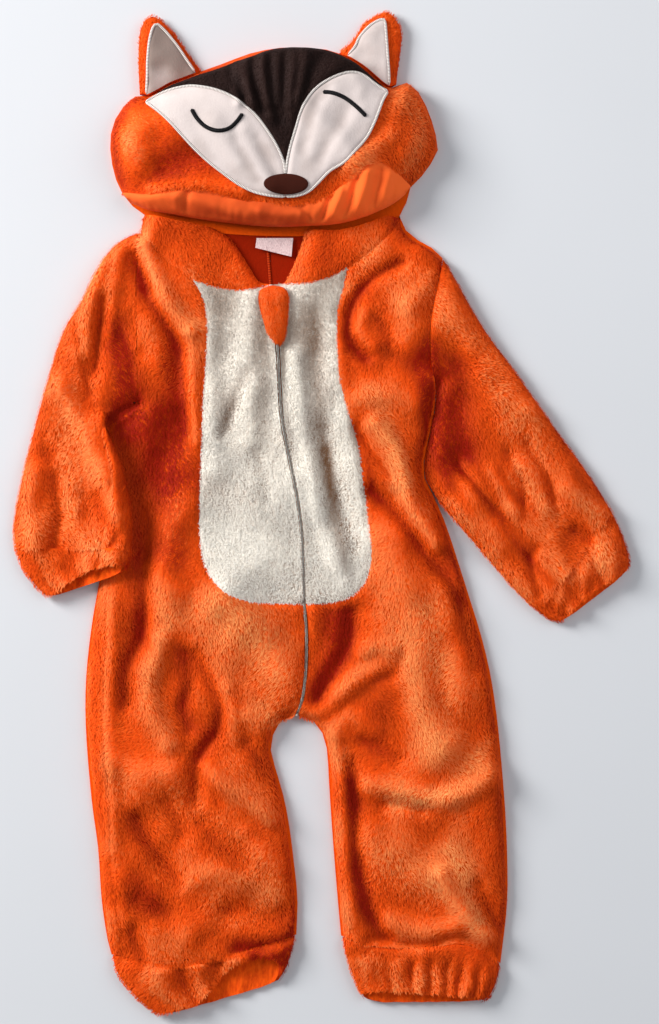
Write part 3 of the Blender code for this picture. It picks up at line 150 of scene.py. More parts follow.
# Seam lines and outlines, each with its points' x and y, the same as the frame's
SEAMS = named("""
armhole_left -163 256, -166 230, -167 190, -166 145, -166 102
side_left -166 102, -175 96, -183 91.5, -190 86, -195 78, -194 66, -190 52, -187 36, -188 10, -193 -13,
  -200 -54, -208 -100, -213 -148, -213 -195, -208 -256, -202 -301, -199 -346, -194 -380, -190 -396
casing_left -190 -396, -150 -401, -105 -397, -60 -388, -23 -378
inseam_left -24.5 -180.5, -37 -185, -44 -198, -46 -213, -41 -231, -34 -256, -29 -283, -25 -315, -22 -346,
  -23 -378
inseam_right -21.5 -180.5, -10 -184, -2 -192, 4 -209, 6 -238, 8 -270, 11 -310, 14 -346, 17 -379
casing_right 17 -379, 43 -387, 75 -389, 120 -385, 142 -390, 161 -404
side_right 99 21, 111 -6, 128 -58, 147 -121, 157 -175, 164 -247, 167 -301, 167 -350, 161 -404
armhole_right 109 232, 101 196, 97 167, 98 140, 102 118, 102 98, 97 72, 92 50, 93 32, 99 21
shoulder_right 70 270, 74 260, 82 251, 97 243, 109 232
shoulder_left -163 256, -162 263, -160 271
belly_left -116 212, -107 194, -104 167, -105 131, -108 86, -110 32, -110 -13, -106 -40, -97 -59, -83 -71,
  -65 -77, -42 -79, -17.4 -79
belly_right 23 224, 19 207, 14 185, 14 158, 16 126, 23 95, 31 68, 36 36, 41 5, 45 -27, 43 -49, 34 -66,
  20 -75, 3 -78.5, -14.6 -79
neck_side_left -163 256, -141 232, -116 212
neck_belly_left -116 212, -96 206, -74 203, -60 205, -46.4 208
neck_belly_right -43.6 208, -31 209, -11 210, 9 216, 23 224
neck_side_right 23 224, 40 236, 56 249, 66 260, 70 270
opening_left -46.4 208, -55 213, -64 227, -74 243, -84 254, -98 262
opening_right -43.6 208, -35 212, -29 224, -23 238, -19 250, -17 258
under_rim_left -98 262, -110 264, -132 267, -150 270, -160 271
under_rim_right -17 258, -5 258, 9 258, 25 261, 41 266, 57 272, 70 270
hood_edge -180 290, -187 306, -191 328, -190 348, -184 362, -175 373.5, -166 379, -158 378, -149 382.5,
  -138 389, -123 395, -112 399.5, -104 402.5, -87 408.5, -66 416.5, -42 421.5, -20 422.5, 3 420.5,
  14 417.5, 23 413.5, 32 408.5, 41 402, 50 394, 57 388, 63 386, 69 388.5, 76 390.5, 83 386.5, 90 377.5,
  97 362, 102 346, 105 332, 100 320, 90 306, 80 296
hood_rim -172 281, -155 274, -132 270, -110 266, -87 263, -60 260, -33 259, -9 260, 9 261, 25 264, 41 269,
  57 276, 67 282, 75 289
hood_seam -180 290, -155 287, -132 291, -110 291, -87 286, -60 280, -33 278, -9 280, 9 287, 24 300,
  39 311, 54 314, 67 306, 80 296
side_seam -192 -76, -194 -120, -195 -184, -191 -262, -188 -319, -180 -382
centre_upper -45 208, -44 180, -40 150, -38.5 122, -36 86, -29 50, -22 14, -18 -22, -16 -79
centre_lower -16 -79, -14 -112, -15 -144, -18 -166, -23 -180.5
""")
# Other lines; a sleeve or cuff has a pair of points for each section: outer edge, inner edge
SHAPES = named("""
centre_back -50 252, -46 200, -40 100, -28 0, -18 -100, -23 -180.5
crown_top -157.4 368.9, -148 377.2, -137 383.9, -122 389.8, -110 394, -97 398, -87 401.5, -75.5 406,
  -64 409.5, -56 413, -44.5 417, -28.5 418.8, -12 418.6, 1 417, 11.5 414, 21 409.8, 30 405, 38 398.3,
  44.5 392.7, 50 387.5, 55 383.3, 59.2 378.7
cheek_left_upper -157.4 368.9, -147.4 375.1, -135.4 379.9, -121.7 382.7, -111.3 382.5, -96.2 379.4,
  -81.4 373.3, -69.9 365.1, -59.2 356.2, -49.3 343.3, -40.2 328.6, -34.3 314.8, -32.3 303
cheek_left_lower -157.4 368.9, -145.9 359.9, -135.3 350, -124.8 338.4, -112.9 325.5, -100.2 313.7,
  -86.4 303, -73.7 294.1, -61.9 288.2, -52.1 285.3, -43.1 283.8, -32.3 283.4
cheek_right_upper -32.3 303, -30.4 316.8, -27.4 330.5, -23.5 343.3, -19.6 356.1, -13.8 368.6, -5.4 379.6,
  6 387.8, 19.9 394, 30.9 395, 38.9 391.9, 45.3 387, 51.8 382.5, 59.2 378.7
cheek_right_lower -32.3 283.4, -21.5 284.4, -11.6 288.2, -2.8 296.1, 7 306, 19.7 313.8, 28.6 322.6,
  39.4 335.4, 46 347.8, 50.6 359.6, 54.7 370.6, 59.2 378.7
eye_left -116 361.3, -110.5 352.2, -102.7 344.7, -92.9 341.3, -83 343.2, -75.1 350.2, -70.2 357.1
eye_right .6 376.4, 10 375.1, 19.9 371.2, 29.3 364.3, 39.5 354.3
tab -56.5 202.5, -52 205.5, -46 207, -39 206.8, -33 204.5, -29.6 198.5, -29.6 186, -30.8 171.5, -32.8 160,
  -35.4 153.6, -39.6 152.2, -44.8 156.8, -49.6 163.8, -53 174.5, -56.4 186, -57.8 195
label -59 250, -26 250, -27.5 233, -60 241
ear_left -166 379.3, -167 400, -167 419, -165.6 436, -161 447, -152.5 450.5, -143.5 447.5, -132.5 436,
  -120.5 419.5, -107.5 401.3
ear_left_inner -157.8 378.2, -157 395, -156.6 411, -154.5 429.5, -150 441.3, -143 437.8, -130.8 423.5,
  -121 409, -114 398.9
ear_right 14 417.7, 26.5 429.5, 36.5 444.5, 48.5 452, 58 455, 65.5 451, 72 441, 73.5 430, 72.5 418,
  70.5 403, 69 388.7
ear_right_inner 23 413.7, 29.5 421.5, 34.2 431, 43 440.5, 53 446, 56.5 444, 58 429, 59.3 411, 60.2 398,
  60.6 386.5
sleeve_left -163 256, -166 102, -180 249, -176 98, -194 236, -186 94, -206 216, -193 89, -217 194,
  -194 82, -230 174, -192 74, -238 155, -188 66, -246 129, -183 55, -254 102, -178 42, -262 72, -174 26,
  -269 44, -171 10, -275 16, -169 -7, -279 -10, -169 -20, -277 -30, -170 -29
cuff_left -277 -30, -170 -29, -273 -43, -170 -34, -266 -55, -171 -39, -257 -66, -173 -44, -248 -75,
  -177 -51
sleeve_right 109 232, 99 21, 122 210, 106 10, 135 187, 117 -3, 151 162, 130 -18, 171 135, 142 -32,
  191 107, 154 -46, 212 77, 166 -60, 232 50, 177 -72, 248 27, 186 -81, 262 4, 194 -87
cuff_right 262 4, 194 -87, 269 -11, 200 -92, 275 -27, 206 -95, 278 -40, 211 -96, 277 -50, 217 -96
leg_cuff_left -190 -396, -23 -378, -186 -411, -25 -388, -176 -426, -28 -399, -162 -440, -33 -411,
  -146 -452, -40 -421
leg_cuff_right 161 -404, 17 -379, 160 -413, 20 -394, 157 -424, 25 -410, 152 -433, 31 -425, 144 -438,
  40 -439
""")
# Which places of two facing seams lie across from each other, as shares of their lengths
RUNGS = named("""
left 0 0, .135 .08, .234 .177, .33 .27, .414 .337, .478 .386, .545 .435, .61 .498, .66 .544, .71 .603,
  .76 .675, .79 .72, .84 .77, .89 .84, .945 .915, 1 1
right 0 0, .081 .03, .173 .098, .256 .166, .34 .25, .384 .315, .425 .365, .502 .432, .555 .477, .613 .524,
  .663 .552, .71 .612, .755 .683, .79 .73, .83 .78, .88 .845, .93 .92, 1 1
even 0 0, 1 1
""")
# Folds of the front, the sleeves and the hood
BODY_FOLDS = listed("""
-162 252 -153 228 -139 194 -121 169 9 4.5 / -117 162 -116 117 -114 68 7 3.6
-168 234 -160 212 -148 188 -134 166 8 -3.2 / -129 156 -126 120 -124 66 8 -2.6
-184 239 -187 203 -182 171 -167 153 6 3 / -165 235 -158 216 -155 205 6 -3
-191 167 -189 144 -184 118 11 -4.6 / -155 167 -144 138 -135 104 12 1.6 / -131 147 -135 93 -144 34 15 -4
-182 93 -166 41 -157 -27 17 -4.6 / -119 10 -133 -13 -140 -49 -131 -94 15 3
-160 -40 -158 -76 -164 -112 -176 -137 -176 -168 8.5 -4.4 / -189 -76 -189 -130 -191 -202 -188 -301 8 2.4
-144 -112 -154 -144 -153 -173 -137 -204 9 4.2 / -122 -123 -118 -150 -125 -173 -120 -191 7 -3.4
-112 -125 -97 -153 -90 -171 -95 -195 -108 -213 -112 -234 -112 -256 7 -4.8 / -86 -155 -81 -177 -77 -200 7 3
-90 -76 -54 -103 -32 -141 16 3.6 / -65 -180 -50 -188 -41 -186 9 3
-104 -225 -88 -240 -68 -252 -43 -272 7.5 4.8 / -67 -204 -54 -222 -38 -243 8 -3
-182 -225 -158 -234 -137 -229 13 2.6 / -167 -272 -155 -292 -141 -310 -126 -326 8 -5
-139 -256 -131 -272 -126 -285 8 -2.4 / -106 -276 -92 -292 -70 -315 10 -3.2
-68 -285 -54 -301 -38 -314 9 2.8 / -119 -328 -94 -321 -74 -326 11 2.2
-166 -346 -155 -353 -140 -359 10 -3.2 / -171 -373 -162 -391 -158 -407 7 -3.8
-81 -355 -54 -360 -27 -357 12 -3.6 / -77 -389 -54 -386 -29 -382 6 -3 / -119 -377 -104 -366 -77 -369 10 1.6
72 228 49 216 32 198 25 178 26 158 40 142 6 -5.2 / 112 223 114 203 112 181 6 -4.6
38 183 36 167 47 154 6 2.6 / 77 194 83 174 77 156 14 2.8 / 97 216 90 201 79 189 9 2
52 178 59 169 63 158 6 -2.2 / 67 147 85 136 101 135 9 -2.8 / 36 106 59 109 85 100 10 2
47 82 65 61 74 34 83 7 103 -22 9 5.2 / 32 81 47 57 63 37 5 -3.4
45 21 63 9 79 -9 95 -33 113 -56 127 -80 7.5 -6 / 126 -76 133 -105 140 -137 7 -3 / 45 27 56 21 67 19 5 -2
59 -22 76 -58 88 -112 92 -166 106 -213 17 4 / 27 -87 25 -114 9 -141 -1 -166 9 -5.2
7 -87 0 -112 -7 -132 8 -2.4 / 38 -121 50 -116 63 -121 8 2.6 / -13 -182 7 -168 27 -150 49 -137 8 4
52 -144 65 -143 72 -123 6 -3 / 2 -200 13 -191 27 -180 45 -193 8 2.2 / 40 -202 54 -209 70 -218 7 -3.2
110 -148 117 -171 133 -191 10 -2.2 / 43 -242 74 -247 103 -254 128 -249 155 -231 9 4.6
58 -258 72 -260 90 -266 5 -4 / 117 -206 133 -218 148 -225 13 2.6
28 -224 32 -256 32 -294 40 -332 45 -357 58 -378 8 -4.6 / 13 -198 18 -247 22 -301 25 -364 6 2.6
74 -272 88 -301 103 -324 16 1.8 / 106 -321 121 -346 137 -366 151 -377 7 5.2
139 -332 149 -350 158 -368 7 -4.4 / 63 -366 90 -373 117 -371 10 3.4
45 -380 72 -385 99 -384 126 -380 157 -400 5 -5.6 / -67 129 -74 108 -83 88 -90 73 6 -2.6
-104 167 -99 104 -97 41 10 2 / -63 194 -67 140 -63 68 11 2.2 / -58 57 -54 43 -49 14 6 -1.6
-5 183 -3 131 1 86 7.5 -1.8 / 3 76 9 43 18 8 29 -27 7.5 -4
-23 143 -18 86 -10 41 -2 -4 10 -36 20 -58 6.5 2.8 / 14 167 20 104 29 50 38 9 8 1.8
-45 205 -37 158 -35 95 -25 32 -17 -40 -16 -79 4.5 -3.2 / -16 -79 -14 -112 -15 -148 -22 -176 5 -4
-65 -4 -76 -58 -81 -112 34 2.4 / 112 -67 121 -130 124 -193 14 2.4 / 117 -301 128 -337 133 -360 16 2
""")
SLEEVE_FOLDS = {"left": listed("""
-203 228 -207 185 -214 149 10 3.6 / -180 237 -189 194 -191 167 7 3 / -196 194 -202 158 -203 129 6 -4.6
-220 171 -214 144 -207 111 5 -3.4 / -234 117 -214 79 -196 36 -180 1 9 3.6 / -247 97 -239 82 -230 77 8 -1.4
-250 73 -248 59 -243 54 7 -2 / -238 34 -236 3 -241 -22 -234 -45 7 -3.8
-198 19 -194 0 -182 -15 -189 -29 6 -3.8 / -259 41 -263 5 -256 -29 9 2.4 / -220 5 -214 -22 -207 -36 9 2.8
"""), "right": listed("""
104 120 95 77 94 41 106 3 9 -6.5 / 130 129 122 93 126 59 17 -3.4 / 112 194 126 167 133 149 10 2.2
121 48 144 21 171 -6 194 -29 4 -3.6 / 133 25 146 0 160 -26 10 2.2 / 112 3 130 -13 144 -29 5 -2.6
153 41 164 25 175 5 6 3.2 / 178 45 193 32 202 7 6 3.2 / 167 59 182 28 182 7 4 -2.6
185 66 203 37 209 14 4.5 -3.2 / 166 106 176 100 187 95 9 2 / 196 122 216 77 234 34 252 16 6 -2.8
220 25 236 14 256 3 9 3 / 227 -13 241 -22 259 -36 6 -3.8 / 187 -36 191 -54 196 -69 6 -3.6
207 -22 216 -45 227 -58 8 2.6
""")}
HOOD_FOLDS = listed("""
-77 410 -76 390 -74 366 3.5 1.8 / -66 414 -65 390 -62 364 3.5 1.8 / -53 418 -52 394 -48 366 3.5 1.8
-41 420 -41 396 -40 366 3.5 1.8 / -27 420 -27 396 -30 364 3.5 1.8 / -13 419 -15 398 -20 370 3.5 1.8
-96 346 -75 320 -47 292 11 2.5 / -19 366 12 338 38 310 10 2.5 / -165 355 -168 330 -166 305 15 3
""")
HOOD_WRINKLES = listed("""
-180 300 -186 340 -170 372 9 -3 / -168 330 -150 350 -128 358 12 2.4 / -160 300 -130 312 -108 318 14 -2.2
-150 290 -110 296 -70 288 7 2 / 60 330 76 350 84 372 14 -2 / 24 312 44 326 62 340 9 2.6
80 300 94 322 98 350 8 -3
""")
CROWN_FOLDS = listed("""
-82 404 -79 392 -70 372 4 -2.4 / -72 409 -70 392 -60 364 4 2.4 / -63 412 -62 392 -53 360 4.5 -1.9
-53 415 -52 392 -46 356 5 1.9 / -43 417 -43 392 -39 350 5 -2 / -37 418 -38 396 -36 360 3 1.8
-30 419 -32 396 -33 350 5.5 -1.8 / -19 419 -24 396 -28 356 6 2.4 / 2 414 -8 396 -17 366 5 -2
20 410 16 404 10 398 6 1.6
""")
CHEEK_FOLDS = {"left": listed("""
-92 380 -81 366 -69 346 6 1 / -102 334 -89 325 -75 313 7 1 / -69 340 -59 321 -45 296 6 1.4
-77 333 -67 313 -57 298 5 -1.1 / -57 335 -49 317 -39 298 5 -1.1 / -138 366 -125 356 -114 340 7 .9
"""), "right": listed("""
2 382 -8 358 -16 325 6 -1 / 12 378 -1 354 -10 323 7 1.3 / 22 360 12 340 -2 315 6 -1.2
36 360 22 341 6 317 7 1.2 / -24 347 -26 325 -28 306 5 .8 / 30 389 36 382 34 374 5 .9
""")}
LINING_FOLDS = listed("""
-161 284 -122 283 -68 265 6 2.6 / -119 288 -122 278 -121 268 3 -2.6 / -128 288 -131 280 -130 272 4 1.6
-78 282 -68 275 -56 271 6 2 / -56 270 -36 267 -20 268 5 2 / -98 268 -70 262 -44 261 4 -1.8
-20 278 -14 270 -8 262 3 -2.4 / 8 286 4 274 -1 262 3 -3 / 17 288 13 276 8 264 4 3
31 300 26 282 19 266 3 -3.2 / 41 304 36 286 31 270 4.5 3.2 / 52 308 49 292 44 276 3.2 -3
62 306 58 292 56 280 4 2.4
""")
# Strokes of the nap and of painted light: where it is raised and shows its pale tips, partly painted
# highlights; and where it lies deep (less than 0), mostly painted shadow and shade beside the sleeves, under
# the body's edges and in hollows
NAP_AND_SHADE_STROKES = listed("""
-89 -86 -60 -111 -33 -156 23 1 / -54 -170 -39 -192 -33 -219 8 1 / -118 -246 -82 -290 -60 -308 20 .7
-96 -348 -69 -366 -47 -344 14 .8 / -181 -246 -154 -281 -145 -317 14 .4
-154 -420 -127 -433 -73 -398 11 .7 / 3 -158 25 -143 45 -119 6 1 / 92 -85 106 -129 115 -165 14 1
25 -219 56 -246 88 -255 14 .8 / 65 -260 106 -247 132 -222 150 -201 8 1.1 / 30 -281 56 -308 97 -335 18 .8
115 -299 128 -326 140 -362 8 1.1 / 43 -399 70 -420 110 -408 12 .7 / -203 166 -216 130 -225 94 10 .7
-234 76 -224 32 -239 -8 16 .9 / -202 -26 -188 -40 -176 -35 8 1 / -252 -40 -239 -62 -225 -67 7 .7
132 157 159 103 199 59 22 .9 / 177 36 199 14 213 -4 9 .6 / 235 14 251 -13 249 -40 12 1
106 32 137 -22 182 -71 11 .9 / 70 381 89 349 79 314 12 .9 / -175 340 -163 323 -154 314 8 .8
-154 295 -132 291 -105 289 6 .8 / -120 222 -108 204 -102 190 5 .5 / -154 193 -140 139 -145 85 11 .6
21 202 36 227 52 246 7 .8 / 98 202 106 175 110 157 7 .6 / 119 132 126 102 132 71 23 -1.3
102 103 106 68 112 28 7 -1.5 / 27 81 36 50 52 14 5 -1.3 / -141 90 -134 32 -136 -31 20 -2.7
-176 -40 -167 -93 -154 -120 8 -1.1 / -132 -111 -127 -165 -109 -192 10 -1.1 / -105 -219 -96 -255 8 -1.3
16 -93 9 -129 -2 -156 13 -1.9 / 21 -237 25 -281 32 -344 56 -371 9 -1.4 / 38 202 27 166 43 139 8 -1.1
-188 170 -177 126 -174 85 14 -2.2 / 97 54 116 27 132 9 7 -1.3 / -167 -326 -149 -348 11 -1.1
-73 -384 -51 -398 -33 -389 11 -2.1 / 106 -4 116 -49 7 -.8 / 3 59 10 -4 21 -49 6 -2.1
97 157 93 112 102 68 9 -1.8 / -203 -111 -201 -219 -191 -344 6 -.96
-167 227 -157 202 -143 177 -129 155 7 -1.3 / -126 148 -123 112 -122 76 5 -1.3
-181 148 -177 114 -174 81 16 -1.1 / -129 68 -105 41 -81 9 18 -.7 / 92 148 106 103 125 59 14 -.9
25 -111 45 -183 39 -255 18 -.8 / -54 -393 -39 -411 -29 -424 13 -1 / 106 60 140 21 175 -24 204 -58 4 -1.7
131 57 149 30 165 -4 4 -.9 / 157 42 170 21 186 9 4 -.9
""")
# Where it lies smooth and even in the same way, with a painted highlight
SMOOTH_LIT_STROKES = listed("""
-138 -89 -147 -147 -134 -205 9 .8 / 43 112 59 72 72 32 11 1.3 / -109 193 -111 139 -113 103 5 .6
65 -102 81 -165 102 -214 14 1 / 119 -255 131 -308 141 -371 14 1 / -54 -205 -42 -246 7 .8
159 14 191 -13 16 .7 / 202 -40 224 -76 13 .8 / 132 -85 141 -165 8 .7 / 47 -40 56 -85 9 .7
70 367 92 327 14 .8 / -87 -111 -64 -165 11 .5 / -266 5 -248 -58 8 .7 / 38 238 70 193 11 .5
-73 -322 -38 -344 11 .7 / -161 248 -149 221 -134 195 -116 173 7 1 / -123 -85 -105 -111 -87 -140 14 .7
-54 -241 -33 -268 -20 -295 16 .7 / 159 -89 166 -116 170 -143 9 .8 / -54 291 -33 269 -15 242 13 .6
""")

# Gathers of the cuffs: share of the way across from the outer edge, half width as a share, height
GATHERS = {
    "sleeve_left": [(0.16, 0.05, -2.4), (0.33, 0.05, 2.2), (0.48, 0.045, -2.8), (0.62, 0.05, 2.4),
                    (0.76, 0.04, -2.4), (0.88, 0.04, 1.6)],
    "sleeve_right": [(0.1, 0.04, -2.0), (0.24, 0.05, 2.4), (0.37, 0.035, -3.0), (0.52, 0.05, 2.2),
                     (0.66, 0.04, -2.6), (0.78, 0.04, 2.0), (0.89, 0.03, -1.8)],
    "leg_left": [(0.11, 0.04, -2.0), (0.24, 0.05, 2.6), (0.35, 0.045, -4.4), (0.45, 0.04, 3.6),
                 (0.57, 0.045, -3.6), (0.68, 0.04, 2.0), (0.8, 0.04, -2.4), (0.91, 0.03, 1.6)],
    "leg_right": [(0.05, 0.025, -2.0), (0.13, 0.03, -3.4), (0.19, 0.028, 2.4), (0.25, 0.026, -3.0),
                  (0.34, 0.026, -2.4), (0.39, 0.026, 2.0), (0.46, 0.028, -3.4), (0.52, 0.028, 2.4),
                  (0.58, 0.03, -3.2), (0.66, 0.04, 2.2), (0.73, 0.03, -2.6), (0.86, 0.05, 2.2)],
}
# How deep the groove at each cuff's seam is, and how far its upper layer is drawn back from the
# hem: the least share, the most, and the shares across between which it grows
CASING_GROOVES = {"sleeve_left": 0.6, "sleeve_right": 3.0, "leg_left": 3.0, "leg_right": 5.5}
LIPS = {"sleeve_left": (0.05, 0.50, 0.0, 0.9), "sleeve_right": (0.16, 0.16, 0.0, 1.0),
        "leg_left": (0.06, 0.70, 0.3, 0.75), "leg_right": (0.24, 0.24, 0.0, 1.0)}
OUTER_EDGES = ("side_left", "inseam_left", "inseam_right", "side_right", "edge_fold",
               "shoulder_right", "opening_left", "opening_right", "shoulder_left")
SEWN = ("belly_left", "belly_right", "neck_side_left", "neck_side_right", "neck_belly_left",
        "neck_belly_right", "armhole_right", "centre_left_lower", "centre_right_lower", "side_seam")
CLOSING = ("centre_upper", "centre_lower")
SHIFT = np.array(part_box("label")[0]) / MM - (-60, 233, LOWEST)
lines = {}  # each seam's points by name
finishes = {}  # each finish's material by name


# ---- lines and fields

def run_of(line):
    """How far along a line each of its points lies."""
    return np.r_[0, np.cumsum(np.linalg.norm(np.diff(line, axis=0), axis=1))]


def along(line, share):
    """Points at the given shares of a line's length, straight between its own points."""
    run = run_of(line)
    return np.stack([np.interp(share * run[-1], run, line[:, k]) for k in range(line.shape[1])], -1)


def curve(points, step=3.0, count=None):
    """Even points on the Catmull-Rom curve through the listed ones: on each stretch a cubic whose
    slope at a listed point is half the step between that point's neighbours."""
    p = np.array(points, float)
    ends = np.vstack([2 * p[0] - p[1], p, 2 * p[-1] - p[-2]])
    a, b, c, d = (ends[k:len(ends) - 3 + k] for k in range(4))
    t = np.linspace(0, 1, 16, endpoint=False)[:, None, None]
    bend = (2 * a - 5 * b + 4 * c - d) * t**2 + (3 * b - 3 * c + d - a) * t**3
    dense = (0.5 * (2 * b + (c - a) * t + bend)).transpose(1, 0, 2).reshape(-1, p.shape[1])
    dense = np.vstack([dense, p[-1:]])
    length = run_of(dense[:, :2])[-1]
    return along(dense, np.linspace(0, 1, count or max(2, round(length / step) + 1)))


def distance(at, line):
    """Distance in plan from each point of `at` to a line of points."""
    flat = at.reshape(-1, 2)
    a, b = line[:-1], line[1:]
    run = b - a
    share = ((flat[:, None] - a) * run).sum(2) / np.maximum((run**2).sum(1), 1e-9)
    nearest = a + np.clip(share, 0, 1)[:, :, None] * run
    return np.linalg.norm(flat[:, None] - nearest, axis=2).min(1).reshape(at.shape[:-1])


def nearest_of(at, names):
    """Distance in plan from each point of `at` to the nearest of several seams."""
    return np.min([distance(at, lines[name]) for name in names], axis=0)


def inside(at, outline):
    """Which points lie inside a closed outline: those from which a level ray crosses it an odd
    number of times."""
    a, b = outline, np.roll(outline, -1, axis=0)
    x, y = at[..., :1], at[..., 1:2]
    spans = (a[:, 1] > y) != (b[:, 1] > y)
    with np.errstate(divide="ignore", invalid="ignore"):
        cross = a[:, 0] + (y - a[:, 1]) / (b[:, 1] - a[:, 1]) * (b[:, 0] - a[:, 0])
    return (spans & (x < cross)).sum(-1) % 2 == 1


def quarter(share):
    """Quarter circle from 0 at share 0 to 1 at share 1 and beyond."""
    return np.sqrt(1 - (1 - np.clip(share, 0, 1)) ** 2)


def ease(share):
    """Smooth step from 0 to 1: three times the square less twice the cube."""
    s = np.clip(share, 0, 1)
    return s * s * (3 - 2 * s)


def unit(vectors):
    """The vectors at length 1."""
    return vectors / np.maximum(np.linalg.norm(vectors, axis=-1, keepdims=True), 1e-9)


def uneven(at, size, seed, waves=18):
    """A smooth uneven field with a spread of 1: the sum of plane waves about `size` millimetres
    long, each with its own heading and phase."""
    rng = np.random.default_rng(seed)
    turn = rng.uniform(0, 2 * math.pi, waves)
    pull = 2 * math.pi / (size * rng.uniform(0.7, 1.5, waves))
    phase = rng.uniform(0, 2 * math.pi, waves)
    angle = at[..., :1] * (pull * np.cos(turn)) + at[..., 1:2] * (pull * np.sin(turn)) + phase
    return np.sin(angle).sum(-1) * math.sqrt(2 / waves)


def folds(at, table, rise=1, sink=1):
    """Sum of a table's folds: each a bell-shaped ridge or trough about its own curve."""
    total = np.zeros(at.shape[:-1])
    for *points, width, height in table:
        away = distance(at, curve(np.reshape(points, (-1, 2)), 8))
        total += height * (rise if height > 0 else sink) * np.exp(-((away / width) ** 2))
    return total


def softened(table):
    """The folds that the pile leaves to be seen: it closes narrow ones in part."""
    return [(*points, width, height * min(1, 0.55 + 0.05 * (width - 4)))
            for *points, width, height in table]


def across_of(line):
    """The unit vectors across a line, to its left."""
    return unit(np.gradient(line, axis=0))[:, ::-1] * (-1, 1)


def drawn_in(line, by):
    """A line moved to its left by `by` millimetres, given for each point or for all."""
    return line + across_of(line) * np.broadcast_to(by, len(line))[:, None]


def refit(line, start, end):
    """A line whose ends are moved to two points, and the rest by their shares of that."""
    share = np.linspace(0, 1, len(line))[:, None]
    return line + (start - line[0]) * (1 - share) + (end - line[-1]) * share


def at_height(plan, height):
    """Places in plan with their heights."""
    return np.concatenate([plan, height[..., None]], -1)


def rungs(first, last, low, high, step=GRID, pairs="even"):
    """A grid between two facing seams: straight rungs between the places that `pairs` sets across
    from each other, bent near both ends to follow the seams `low` and `high` across them. The
    bend falls off as the cube of the share of the length."""
    low, high = refit(low, first[0], last[0]), refit(high, first[-1], last[-1])
    length = [run_of(line)[-1] for line in (first, last, low, high)]
    rows = max(3, round(max(length[:2]) / step))
    nine = np.linspace(0, 1, 9)
    middle = np.linalg.norm(along(first, nine) - along(last, nine), axis=1)
    columns = max(3, round(max(middle.max(), *length[2:]) / step))
    a, b = RUNGS[pairs].T
    v, u = np.linspace(0, 1, rows), np.linspace(0, 1, columns)
    left, right = (along(line, np.interp(v, (a + b) / 2, c)) for line, c in ((first, a), (last, b)))
    across, down = u[None, :, None], v[:, None, None]
    straight = left[:, None] * (1 - across) + right[:, None] * across
    near, far = along(low, u) - straight[0], along(high, u) - straight[-1]
    return straight + near * (1 - down) ** 3 + far * down**3


def fan(low, high, step):
    """A grid between two lines that meet at both ends: straight rungs between their like shares."""
    share = np.linspace(0, 1, round(run_of(high)[-1] / step))
    first, last = along(low, share), along(high, share)
    rows = round(np.linalg.norm(first - last, axis=1).max() / step)
    v = np.linspace(0, 1, rows)[:, None, None]
    return first * (1 - v) + last * v


def closes(grid):
    """Whether a grid's last column repeats its first."""
    return np.allclose(grid[:, 0], grid[:, -1])


def normals_of(grid):
    """Unit normals of a grid, the cross product of its slopes: turned to the side that faces up,
    or out of a tube, whose last column repeats its first."""
    if closes(grid):
        wide = np.concatenate([grid[:, -2:-1], grid, grid[:, 1:2]], axis=1)
        over = np.gradient(wide, axis=1)[:, 1:-1]
        rows, n = grid.shape[:2]
        normal = unit(np.cross(over, np.gradient(grid, axis=0)))
        return normal if normal[rows // 2, n // 4, 2] > 0 else -normal
    normal = unit(np.cross(np.gradient(grid, axis=1), np.gradient(grid, axis=0)))
    return normal if normal[..., 2].mean() > 0 else -normal


# ---- heights

def body_level(at):
    """The front's level, round at its outer edges, as in the frame."""
    near = nearest_of(at, OUTER_EDGES)
    return near, EDGE_TOP + (FRONT_TOP - EDGE_TOP) * quarter(near / EDGE_ROUND)


def body_height(at):
    """Top of the front's pile, as in the frame."""
    near, level = body_level(at)
    fold = folds(at, BODY_FOLDS, FOLD_RISE, FOLD_SINK)
    return np.maximum(level + fold * ease(near / EDGE_CALM), LEAST_FRONT)


def shading(fold):
    """The painted light and shade that a fold's height gives its pile, from -1, shade in a trough,
    to 1, light on a ridge: the hyperbolic tangent of the height over that of a full fold."""
    return np.tanh(fold / FULL_FOLD)


def painted_edge_shade(reach):
    """The painted shade on the pile that far in from an edge, where it turns away, falling off as a quarter
    circle.
    """
    return EDGE_SHADE * (1 - quarter(reach))


def slope_lit(shade, normal, share=1.0):
    """The shading with painted light on slopes that face the window, and painted shade on slopes
    turned away from it."""
    return shade + share * SLOPE_LIGHT * np.tanh(1.6 * (normal[..., :2] @ TO_WINDOW))


def body_cloth(at):
    """Top and underside of the front's backing, and the painted light and shade of its folds:
    the frame's level less the pile, its folds, the grooves of its seams, and the soft
    unevenness of worn plush."""
    near, level = body_level(at)
    base = EDGE_BASE + (FRONT_TOP - COVER - EDGE_BASE) * quarter((near - COVER) / (EDGE_ROUND - COVER))
    fold = folds(at, softened(BODY_FOLDS), FOLD_RISE, 0.8 * FOLD_SINK)
    worn = 0.8 * uneven(at, 75, 3) + 0.3 * uneven(at, 34, 4)
    filled = ZIP_FILL * np.exp(-((nearest_of(at, CLOSING) / ZIP_FILL_HALF) ** 2))
    top = base + (fold + worn) * ease(near / EDGE_CALM) + filled
    top = np.maximum(top - np.exp(-((nearest_of(at, SEWN) / 3.0) ** 2)) * ease(near / 6), LOWEST + 1.0)
    under = np.maximum(level + UNDERSIDE_SHARE * fold - PLUSH_THICK, LOWEST)
    # Painted light on the ridges of the wider folds and painted shade in their troughs, with uneven tone, and
    # painted shade on the rounds of the edges
    wide = [row for row in BODY_FOLDS if row[-2] > CREASE]
    relief_shade_and_patches = folds(at, wide, FOLD_RISE, FOLD_SINK) + 1.2 * uneven(at, 70, 21)
    return top, np.minimum(under, top - 0.8), shading(relief_shade_and_patches) - painted_edge_shade(near / 20)


